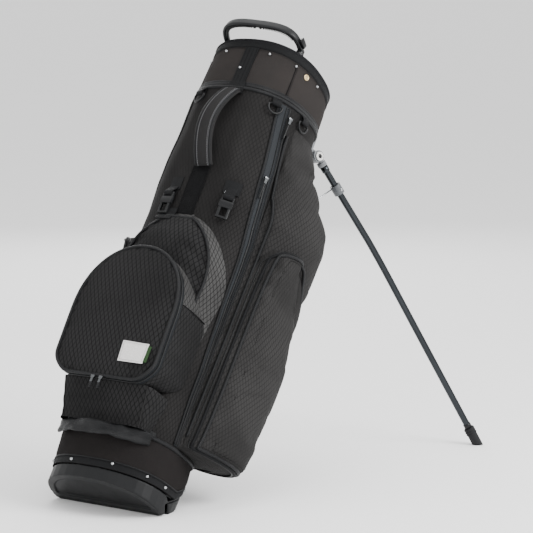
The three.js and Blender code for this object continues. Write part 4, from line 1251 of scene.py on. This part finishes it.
def garment_at(sign):
    def at(u, v):
        degrees = lerp(GARMENT_FROM - 1, GARMENT_TO + 1, u)
        z = lerp(67.5, 725, v)
        p = on_bag(degrees, z)
        edge = min(1.0, 6 * min(u, 1 - u), 8 * min(v, 1 - v))
        long_fold = wave((p.x, p.y * 0.4, p.z * 0.25), 34.0, 4.0 + sign) * 2.6
        sag = wave(p, 60.0, 9.0 + sign) * 2.0
        depth = garment_depth(degrees, z) + (long_fold + sag) * edge
        if u in (0, 1) or v == 0:
            depth = 0.4
        return on_bag(sign * degrees, z, max(depth, 0.4))
    return at


def side_last(z):
    return lerp(SIDE_TO, SIDE_TOP_TO, smooth(z, 230, 480))


def side_corner(u, v):
    """The degrees and height of a point of the side pocket."""
    arch = 1 - 0.14 * abs(2 * u - 1) ** 4
    z = lerp(SIDE_LOW, lerp(SIDE_LOW, SIDE_HIGH, arch), v)
    return lerp(SIDE_FROM, side_last(z), u), z


def side_width(z):
    return MM_PER_DEGREE * (side_last(z) - SIDE_FROM)


def side_depth(u, degrees, z):
    return max(garment_depth(degrees, z) + 12, table(SIDE, z) * full(u) ** 0.7)


def side_at(sign):
    def at(u, v):
        degrees, z = side_corner(u, v)
        near = min(min(u, 1 - u) * side_width(z), min(v, 1 - v) * (SIDE_HIGH - SIDE_LOW))
        edge = math.sqrt(max(1 - (1 - clamp(near / 13)) ** 2, 0.0))
        p = on_bag(degrees, z)
        sag = 1.5 * wave(p, 48.0, 2.0 + sign) + 1.2 * wave((p.x, p.y, p.z * 0.3), 26.0, 6.0 + sign)
        low, high = garment_depth(degrees, z) + 0.5, side_depth(u, degrees, z) + sag * 0.8
        return on_bag(sign * degrees, z, lerp(low, high, edge))
    return at


def side_line(sign, inset, out):
    """A closed path round the side pocket's face, inset millimetres in from its border."""
    path = []
    for i in range(150):
        edge, t = divmod(4 * i / 150, 1)
        u, v = ((t, 0), (1, t), (1 - t, 1), (0, 1 - t))[int(edge)]
        across = inset / side_width(side_corner(u, v)[1])
        up_by = inset / (SIDE_HIGH - SIDE_LOW)
        u, v = clamp(u, across, 1 - across), clamp(v, up_by, 1 - up_by)
        degrees, z = side_corner(u, v)
        path.append(on_bag(sign * degrees, z, side_depth(u, degrees, z) + out))
    for _ in range(2):
        path = [(path[i - 1] + path[i] * 2 + path[(i + 1) % 150]) / 4 for i in range(150)]
    return path


for name, sign in (("right", 1), ("left", -1)):
    panel(f"garment_pocket_{name}_cloth", garment_at(sign), 56, 110, "side", 2.5, 5.0, 0.025,
          stands_for=(f"garment_pocket_{name}",))
    panel(f"side_pocket_{name}_cloth", side_at(sign), 52, 96, "side", 2.5, 4.5, width=5,
          stands_for=(f"side_pocket_{name}",))
    cord_along(f"side_pocket_{name}_piping", side_line(sign, 9, 0.2), 3.3, "bound", closed=True)
    stitches(f"side_pocket_{name}_stitches", [side_line(sign, 16, 1.0)])
    cord_along(f"side_pocket_{name}_zip_tape", side_line(sign, 5.5, -2.8), 3.4, "dark_web", closed=True)
    zip_line = side_line(sign, 3.0, -5.0)
    cord_along(f"side_pocket_{name}_zip", zip_line, 1.7, "coil", closed=True, sides=6)
    seam = [on_bag(sign * 151, z, max(garment_depth(151, z), 1) + 1.5) for z in np.linspace(72, 716, 60)]
    cord_along(f"garment_pocket_{name}_back_piping", seam, 2.0, "bound")

# ---- zip channels
CHANNEL = ((78, 83.5), (177, 81.6), (422, 76.9), (600, 68), (750, 60))


def channel_edges(z):
    centre = table(CHANNEL, z)
    return centre - 6.6, min(centre + 6.6, 81.2)


def channel_point(sign, share, z, out):
    """share runs from 0 at the channel's front edge to 1 at its back edge."""
    degrees = sign * lerp(*channel_edges(z), share)
    return on_bag(degrees, z, out + body_fold(degrees, z))


def channel_path(sign, share, out, high=752):
    return [channel_point(sign, share, z, out) for z in np.linspace(70, high, 70)]


for name, sign in (("right", 1), ("left", -1)):
    cloth(f"channel_tape_{name}", lambda u, v, sign=sign: channel_point(sign, u, lerp(68, 753, v), 1.7),
          10, 110, "tape")
    for side, share, sewn in (("front", -0.03, 0.14), ("back", 1.03, 0.86)):
        cord_along(f"channel_piping_{name}_{side}", channel_path(sign, share, 1.6), 2.5, "bound")
        stitches(f"channel_stitches_{name}_{side}", [channel_path(sign, sewn, 2.0)])
    cord_along(f"channel_coil_{name}", channel_path(sign, 0.5, 2.0, 592), 1.9, "coil")
    cord_along(f"channel_lip_{name}", channel_path(sign, 0.72, 2.2), 1.2, "bound", sides=6)
    # The garment pocket's own zip runs down its front edge.
    edge = []
    for z in np.linspace(92, 702, 80):
        degrees = lerp(84.5, 74, smooth(z, 520, 700))
        lift = garment_depth(degrees, z) if degrees > GARMENT_FROM else 2.0
        edge.append(on_bag(sign * degrees, z, max(lift, 2.0) + 1.2))
    cord_along(f"garment_zip_{name}", edge, 1.9, "coil")
    cord_along(f"garment_zip_tape_{name}", [p - radial(p) * 0.6 for p in edge], 3.1, "bound")

# ---- base
FLAP_CLEAR = 25


def band_bottom(degrees):
    """The band's lower edge, which stays clear of the flap on the floor."""
    return max(-13.6, (FLAP_CLEAR - ORIGIN_Z + on_bag(degrees, 0).x * SIN) / COS)


def band_at(u, v):
    degrees = 360 * u - 180
    z = lerp(band_bottom(degrees), 58.2, v)
    p = on_bag(degrees, z)
    slack = 1.6 * wave(p, 30.0, 5.0) + 0.6 * wave(p, 12.0, 2.4)
    return on_bag(degrees, z, (slack + 1.0) * math.sin(math.pi * v) ** 0.6)


cloth("base_band_cloth", band_at, 150, 16, "band", ring=True, stands_for=("base_band",))


def band_edge_at(u, v):
    degrees = 360 * u - 180
    return on_bag(degrees, band_bottom(degrees) + lerp(0.2, 14, v), 1.9 - 0.5 * v)


cloth("base_band_tape", band_edge_at, 150, 3, "web_across", ring=True)
hoop("base_band_edging", lambda d: band_bottom(d) + 14.4, 1.2, pill(2.6, 2.2, 1.0), "bound")
stitches("base_band_stitches", [all_round(lambda d: band_bottom(d) + 11.5, 2.1)])
hoop("base_piping_cord", 61.5, 0.6, pill(7.4, 6.6), "bound", stands_for=("base_piping",))
for number, (y, z) in enumerate(((41, -7), (-49, -3), (-106, -5), (106, -5)), 1):
    rivet(f"base_rivet_{number}", degrees_at(y, z), z, 2.0, 2.7)
for name, degrees in (("right", 84), ("left", -84), ("back_right", 128), ("back_left", -128)):
    rivet(f"base_rivet_{name}", degrees, band_bottom(degrees) + 7, 2.0, 2.7)
recast("base_cup", "base_cup_moulded", "base", 1.5, 3)
recast("base_flap", "base_flap_moulded", "base", 1.5, 2)
eased("flap_pin", "flap_pin_bar", "steel", 0.4)


def strap_side(i):
    return Vector((0.25 * math.sin(i * 0.22), 0, 1)).normalized()


path = []
for i in range(49):
    y = 104 * (1 - 2 * i / 48)
    z = 50 + 6 * (1 - 2 * i / 48) ** 2
    path.append(Vector((front_x(y, z, 7.5) - 16 * math.cos(math.pi * (i / 48 - 0.5)) ** 2, y, z)))
frames = []
for i, (side, out) in enumerate(path_frames(path, strap_side)):
    twist = 0.35 * math.sin(i * 0.35) * math.sin(math.pi * i / 48) + 0.5 * max(i - 40, 0) / 8
    cos, sin = math.cos(twist), math.sin(twist)
    frames.append((side * cos + out * sin, out * cos - side * sin))
strap_profile = ((-12.4, -1.6), (-12.9, 0.4), (-11.6, 2.2), (-8, 3.0), (-3, 2.1), (0, 1.9), (4, 2.5),
                 (9, 3.3), (12, 2.4), (13, 0.2), (12.2, -1.7), (8, -1.0), (0, -1.5), (-8, -1.0))
swell = [(1 + 0.05 * math.sin(i * 0.9), 1 + 0.35 * math.sin(i * 0.55) ** 2) for i in range(49)]
swept("base_handle_strap", path, strap_profile, "bound", frames=frames, scales=swell,
      stands_for=("base_handle",))
for name, i in (("right", 46), ("left", 2)):
    degrees = degrees_at(path[i].y, path[i].z)
    line = [on_bag(degrees, z, 1.6) for z in np.linspace(58, 72, 8)]
    swept(f"base_handle_anchor_{name}", line, pill(20, 3, 1.2), "bound")

# ---- grab handle and straps
FRONT_LINE = -17


path = []
for i in range(61):
    arch = max(math.sin(math.pi * i / 60), 0.0)
    z = lerp(590, 751, i / 60)
    path.append(Vector((front_x(FRONT_LINE, z) - 6 - 30 * arch ** 0.8, FRONT_LINE + 7 * arch, z)))
frames = path_frames(path, lambda i: Vector((0, 1, 0)))
grab_profile = ((-19, -1.5), (-18.6, 1.6), (-16.6, 3.4), (-13.4, 3.6), (-12.4, 3.0), (-11.4, 4.2),
                (-6, 5.4), (0, 5.8), (6, 5.4), (11.4, 4.2), (12.4, 3.0), (13.4, 3.6), (16.6, 3.4),
                (18.6, 1.6), (19, -1.5), (17.4, -3.6), (9, -4.4), (0, -4.6), (-9, -4.4), (-17.4, -3.6))
grab = swept("grab_handle_pad", path, grab_profile, "strap_grey", frames=frames,
             stands_for=("grab_handle",))


def on_grab(across, above):
    return [p + side * across + out * above for p, (side, out) in zip(path, frames)]


for name, sign in (("left", 1), ("right", -1)):
    cord_along(f"grab_handle_edging_{name}", on_grab(sign * 16.9, 2.9), 2.0, "bound")
for name, sign in (("left", 1), ("right", -1)):
    cord_along(f"grab_handle_channel_{name}", on_grab(sign * 12.4, 3.5), 0.9, "edge_grey", sides=6)
    stitches(f"grab_handle_stitches_{name}", [on_grab(sign * 10.912, 4.7)], "thread_grey")


def strip_at(width, low, high, centre, out):
    def at(u, v):
        z = lerp(low, high, v)
        y = centre + width * (0.5 - u)
        degrees = degrees_at(y, z)
        fold = body_fold(degrees, z) if z < 757 else 0.0
        return on_bag(degrees, z, out + max(fold, 0) * 0.8)
    return at


slab("loop_strip", strip_at(36, 489, 590, FRONT_LINE + 8, 1.8), 8, 40, 1.2, "loop",
     stands_for=("grip_strip",))
sewn_at = strip_at(36, 489, 590, FRONT_LINE + 8, 2.3)
stitches("loop_strip_stitches", [[sewn_at(u, j / 30) for j in range(31)] for u in (0.06, 0.94)])
slab("collar_strip_web", strip_at(28, 765, 850, FRONT_LINE, 2.9), 6, 24, 1.6, "dark_web",
     stands_for=("collar_strip",))
sewn_at = strip_at(28, 766, 848, FRONT_LINE, 3.3)
for k, u in enumerate((0.1, 0.36, 0.64, 0.9)):
    stitches(f"collar_strip_stitches_{k}", [[sewn_at(u, j / 24) for j in range(25)]])
slab("grab_handle_root", strip_at(34, 748, 772, FRONT_LINE, 3.4), 6, 8, 2.2, "dark_web")
rivet("collar_strip_rivet", degrees_at(-9, 801), 803, 3.4, 2.2)
turned("buckle_rivet", on_bag(degrees_at(-72, 548), 548, 0.8), normal_at(degrees_at(-72, 548), 548),
       ((3.6, -0.6), (3.6, 0.6), (2.8, 1.5), (1.0, 1.9)), "steel", 16)


# ---- rings, buckles and pulls
def level_frame(degrees, z, out):
    """A point outside the bag with the level directions along the cloth and away from it."""
    place = on_bag(degrees, z, out)
    across = (on_bag(degrees + 2, z, out) - place).normalized()
    away = Vector((place.x, place.y, 0))
    return place, across, (away - across * away.dot(across)).normalized()


def looped_tab(name, root, across, out, width, steps, turns):
    """Webbing sewn on at a root and laid round a bar; turns lists (out, up) from the root."""
    tab = spline([root + out * o + UP * h for o, h in turns], steps)
    swept(name, tab, pill(width, 1.7, 0.8, 2), "dark_web", frames=[
        (across, (tab[min(i + 1, steps)] - tab[max(i - 1, 0)]).normalized().cross(across))
        for i in range(steps + 1)])


RING_RADIUS = 14
for name, degrees in (("left", -26), ("front", 50), ("right", 86)):
    centre, across, out = level_frame(degrees, 749, 6)
    centre.z = 741
    loop = []
    for i in range(44):
        a = 2 * math.pi * i / 44
        rise = math.sin(a) * (0.3 if math.sin(a) > 0 else 1)
        loop.append(centre + (across * math.cos(a) + UP * rise) * RING_RADIUS)
    swept(f"d_ring_{name}_moulded", loop, circle(2.15, 10), "black", closed=True,
          frames=[(out, (p - centre).normalized()) for p in loop],
          body=f"d_ring_{name}", stands_for=(f"d_ring_{name}",))
    looped_tab(f"d_ring_tab_{name}", on_bag(degrees, 758, 1.4), across, out, 19, 28,
               ((0, 0), (4.6, -4), (8.2, -9.5), (8.0, -13.6), (5.0, -15.6), (2.0, -14.0),
                (1.0, -10.0), (0.4, -2.0)))


def buckle_patch_at(y, z):
    def at(u, v):
        height = z + lerp(26, 52, v)
        return on_bag(degrees_at(y + lerp(13, -13, u), height), height, 2.6)
    return at


for name, y, z in (("left", 34, 512), ("right", -80, 520)):
    eased(f"buckle_{name}", f"buckle_{name}_moulded", "black", 1.3)
    looped_tab(f"buckle_tab_{name}", *level_frame(degrees_at(y, z), z, 9), 20, 36,
               ((-7.6, 40), (-6.4, 32), (-1.0, 24), (4.2, 18), (4.6, 13), (1.0, 10.2), (-4.0, 12),
                (-6.6, 18), (-7.6, 30)))
    slab(f"buckle_patch_{name}", buckle_patch_at(y, z), 6, 6, 1.8, "dark_web")

GRIP_RINGS = 13
for node in ("lower_zip_pull_left", "lower_zip_pull_right", "garment_zip_pull", "channel_zip_pull"):
    shortened(eased(node, f"{node}_slider", "gunmetal", 0.7), 0.42)
    low, high = (Vector(c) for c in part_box(node))
    centre = (low + high) / 2
    short = node.startswith("lower")
    away = Vector((-1, 0, 0)) if short else radial((centre.x - SHIFT / 1000 - 0.2, centre.y))
    side = away.cross(AXIS).normalized()
    out = AXIS.cross(side).normalized()
    points = []
    for i in range(GRIP_RINGS):
        p = centre + AXIS * (0.002 - (0.0008 if short else 0.0026) * i)
        wide = 0.8 + 0.35 * math.sin(math.pi * min(i / 9, 1))
        deep = 0.8 + 0.3 * (i % 2)
        points += [p + (side * (s * wide) + out * (o * deep)) / 1000 for s, o in pill(4.6, 3.0, 1.3, 3)]
    outward(piece(f"{node}_grip", points, tube_faces(GRIP_RINGS, 16), "black", body=node,
                  local=False, uv=[(0, 0)] * len(points)))

# ---- legs
HINGE = Vector((133, -69, 755))
LEG_LENGTH, LEG_BOW, FOOT_LENGTH = 684, 9, 42
OPEN_BACK, OPEN_OUT = 0.8243, 0.3006
open_right = Vector((OPEN_BACK, -OPEN_OUT, -math.sqrt(1 - OPEN_BACK ** 2 - OPEN_OUT ** 2)))
hinge_axis = Vector((-OPEN_OUT, -OPEN_BACK, 0)).normalized()
bow_side = hinge_axis.cross(open_right).normalized()


def on_leg(distance, bow, sign):
    p = HINGE + open_right * distance + bow_side * bow
    return Vector((p.x, sign * p.y, p.z))


def bow_at(d):
    bend = 0.33 * LEG_LENGTH
    knots = ((22, 1), (bend * 0.5, LEG_BOW * 0.5), (bend * 0.9, LEG_BOW * 0.93),
             (bend * 1.15, LEG_BOW * 0.95), (bend * 2, LEG_BOW * 0.5),
             (LEG_LENGTH - FOOT_LENGTH, LEG_BOW * FOOT_LENGTH / (LEG_LENGTH - bend)))
    return table(knots, d, soft=False)


END = LEG_LENGTH - FOOT_LENGTH
for name, sign in (("right", 1), ("left", -1)):
    leg = f"leg_{name}"
    tube = [on_leg(d, bow_at(d), sign) for d in np.linspace(20, END, 70)]
    tube[1:-1] = [(tube[i - 1] + tube[i] * 2 + tube[i + 1]) / 4 for i in range(1, 69)]
    swept(f"{leg}_tube_bar", tube, circle(6.5, 24), "leg", body=leg, stands_for=(f"leg_tube_{name}",))
    eased(f"leg_fitting_{name}", f"{leg}_fitting_moulded", "pale", 1.2, 40)
    eased(f"leg_pivot_{name}", f"leg_pivot_{name}_pin", "alloy", 0.5)
    eased(f"leg_foot_{name}", f"{leg}_foot_moulded", "rubber", 1.4, 40)
    eased(f"leg_clamp_{name}", f"{leg}_clamp_moulded", "clamp", 0.9, 40)
    eased(f"wire_arm_{name}", f"wire_{name}_rod", "steel", 0.4)
    direction = (on_leg(100, 0, sign) - on_leg(0, 0, sign)).normalized()
    for k in range(3):
        turned(f"{leg}_foot_ring_{k}", on_leg(END + 3 + 5 * k, 0.6, sign), direction,
               ((9.6, -1.4), (10.9, -0.8), (10.9, 0.8), (9.6, 1.4)), "rubber", 24, body=leg)
    turned(f"{leg}_collar", on_leg(END - 5, bow_at(END - 5), sign), direction,
           ((6.4, -5), (7.6, -4.2), (7.8, 4), (6.4, 5)), "black", 24, body=leg)
    turned(f"{leg}_ferrule", on_leg(29, 1.2, sign), direction,
           ((6.4, -6.5), (7.9, -6), (7.9, 5.2), (7.0, 6.4), (6.4, 6.6)), "leg", 24, body=leg)
    axis = Vector((hinge_axis.x, sign * hinge_axis.y, 0))
    head = on_leg(0, 0, sign) + axis * 7.4
    turned(f"leg_pivot_{name}_washer", head, axis,
           ((8.8, -0.9), (8.8, 0.5), (7.6, 1.0), (4.4, 1.1), (4.0, 0.4)), "patch", 28)
    turned(f"leg_pivot_{name}_hub", head, axis,
           ((4.3, -0.6), (4.3, 1.3), (3.4, 1.9), (0.6, 2.0)), "black", 20)
    outward_y = Vector((0, -sign, 0))
    turned(f"{leg}_clamp_bolt", on_leg(77, 3, sign) + outward_y * 10, outward_y,
           ((3.4, -1.2), (3.4, 0.8), (2.6, 1.6), (0.6, 1.7)), "steel", 16, body=leg)

recast("leg_bracket", "leg_bracket_moulded", "pale", 1.1, 3)
eased("actuator_rod", "actuator_rod_bar", "steel", 0.4)
for node in ("slider_block", "rod_guide_low", "rod_guide_high"):
    eased(node, f"{node}_moulded", "black", 1.2)

# Piping on both sides of the spine.
for name, y in (("right", 24), ("left", -24)):
    line = [Vector((back_x(y, z, 1.4 + body_fold(180, z)), y, z)) for z in np.linspace(70, 720, 60)]
    cord_along(f"spine_piping_{name}", line, 1.8, "bound", sides=6)

# ---- stage and light
floor_mesh = bpy.data.meshes.new("floor")
wide = 60
floor_mesh.from_pydata([(-wide, -wide, 0), (wide, -wide, 0), (wide, wide, 0), (-wide, wide, 0)],
                       [], [(0, 1, 2, 3)])
floor = add_object("floor", floor_mesh)
paper = Finish("floor_paper", roughness=0.85, specular=0.2)
paper.colour(paper.mix(paper.noise(paper.object, 3.0, 2.0), (0.94, 0.94, 0.94), (0.95, 0.95, 0.95)))
floor.data.materials.append(paper.done())

world = bpy.data.worlds.new("studio")
bpy.context.scene.world = world
world.use_nodes = True
world.node_tree.nodes["Background"].inputs["Color"].default_value = (1, 1, 1, 1)
world.node_tree.nodes["Background"].inputs["Strength"].default_value = 1.35


def softbox(name, place, look_at, size, power):
    data = bpy.data.lights.new(name, "AREA")
    data.shape = "RECTANGLE"
    data.size, data.size_y = size
    data.energy = power
    light = add_object(name, data)
    light.location = place
    light.rotation_euler = (Vector(look_at) - Vector(place)).to_track_quat("-Z", "Y").to_euler()


softbox("key", (0.2, -2.6, 2.0), (0, 0, 0.45), (1.6, 1.6), 120)
softbox("front", (-3.0, -0.6, 1.8), (0, 0, 0.4), (2.0, 1.6), 20)
softbox("top", (0.1, 0.3, 3.0), (0, 0, 0.4), (2.4, 2.4), 36)
softbox("back", (2.4, 2.0, 1.6), (0, 0, 0.5), (1.6, 1.6), 30)
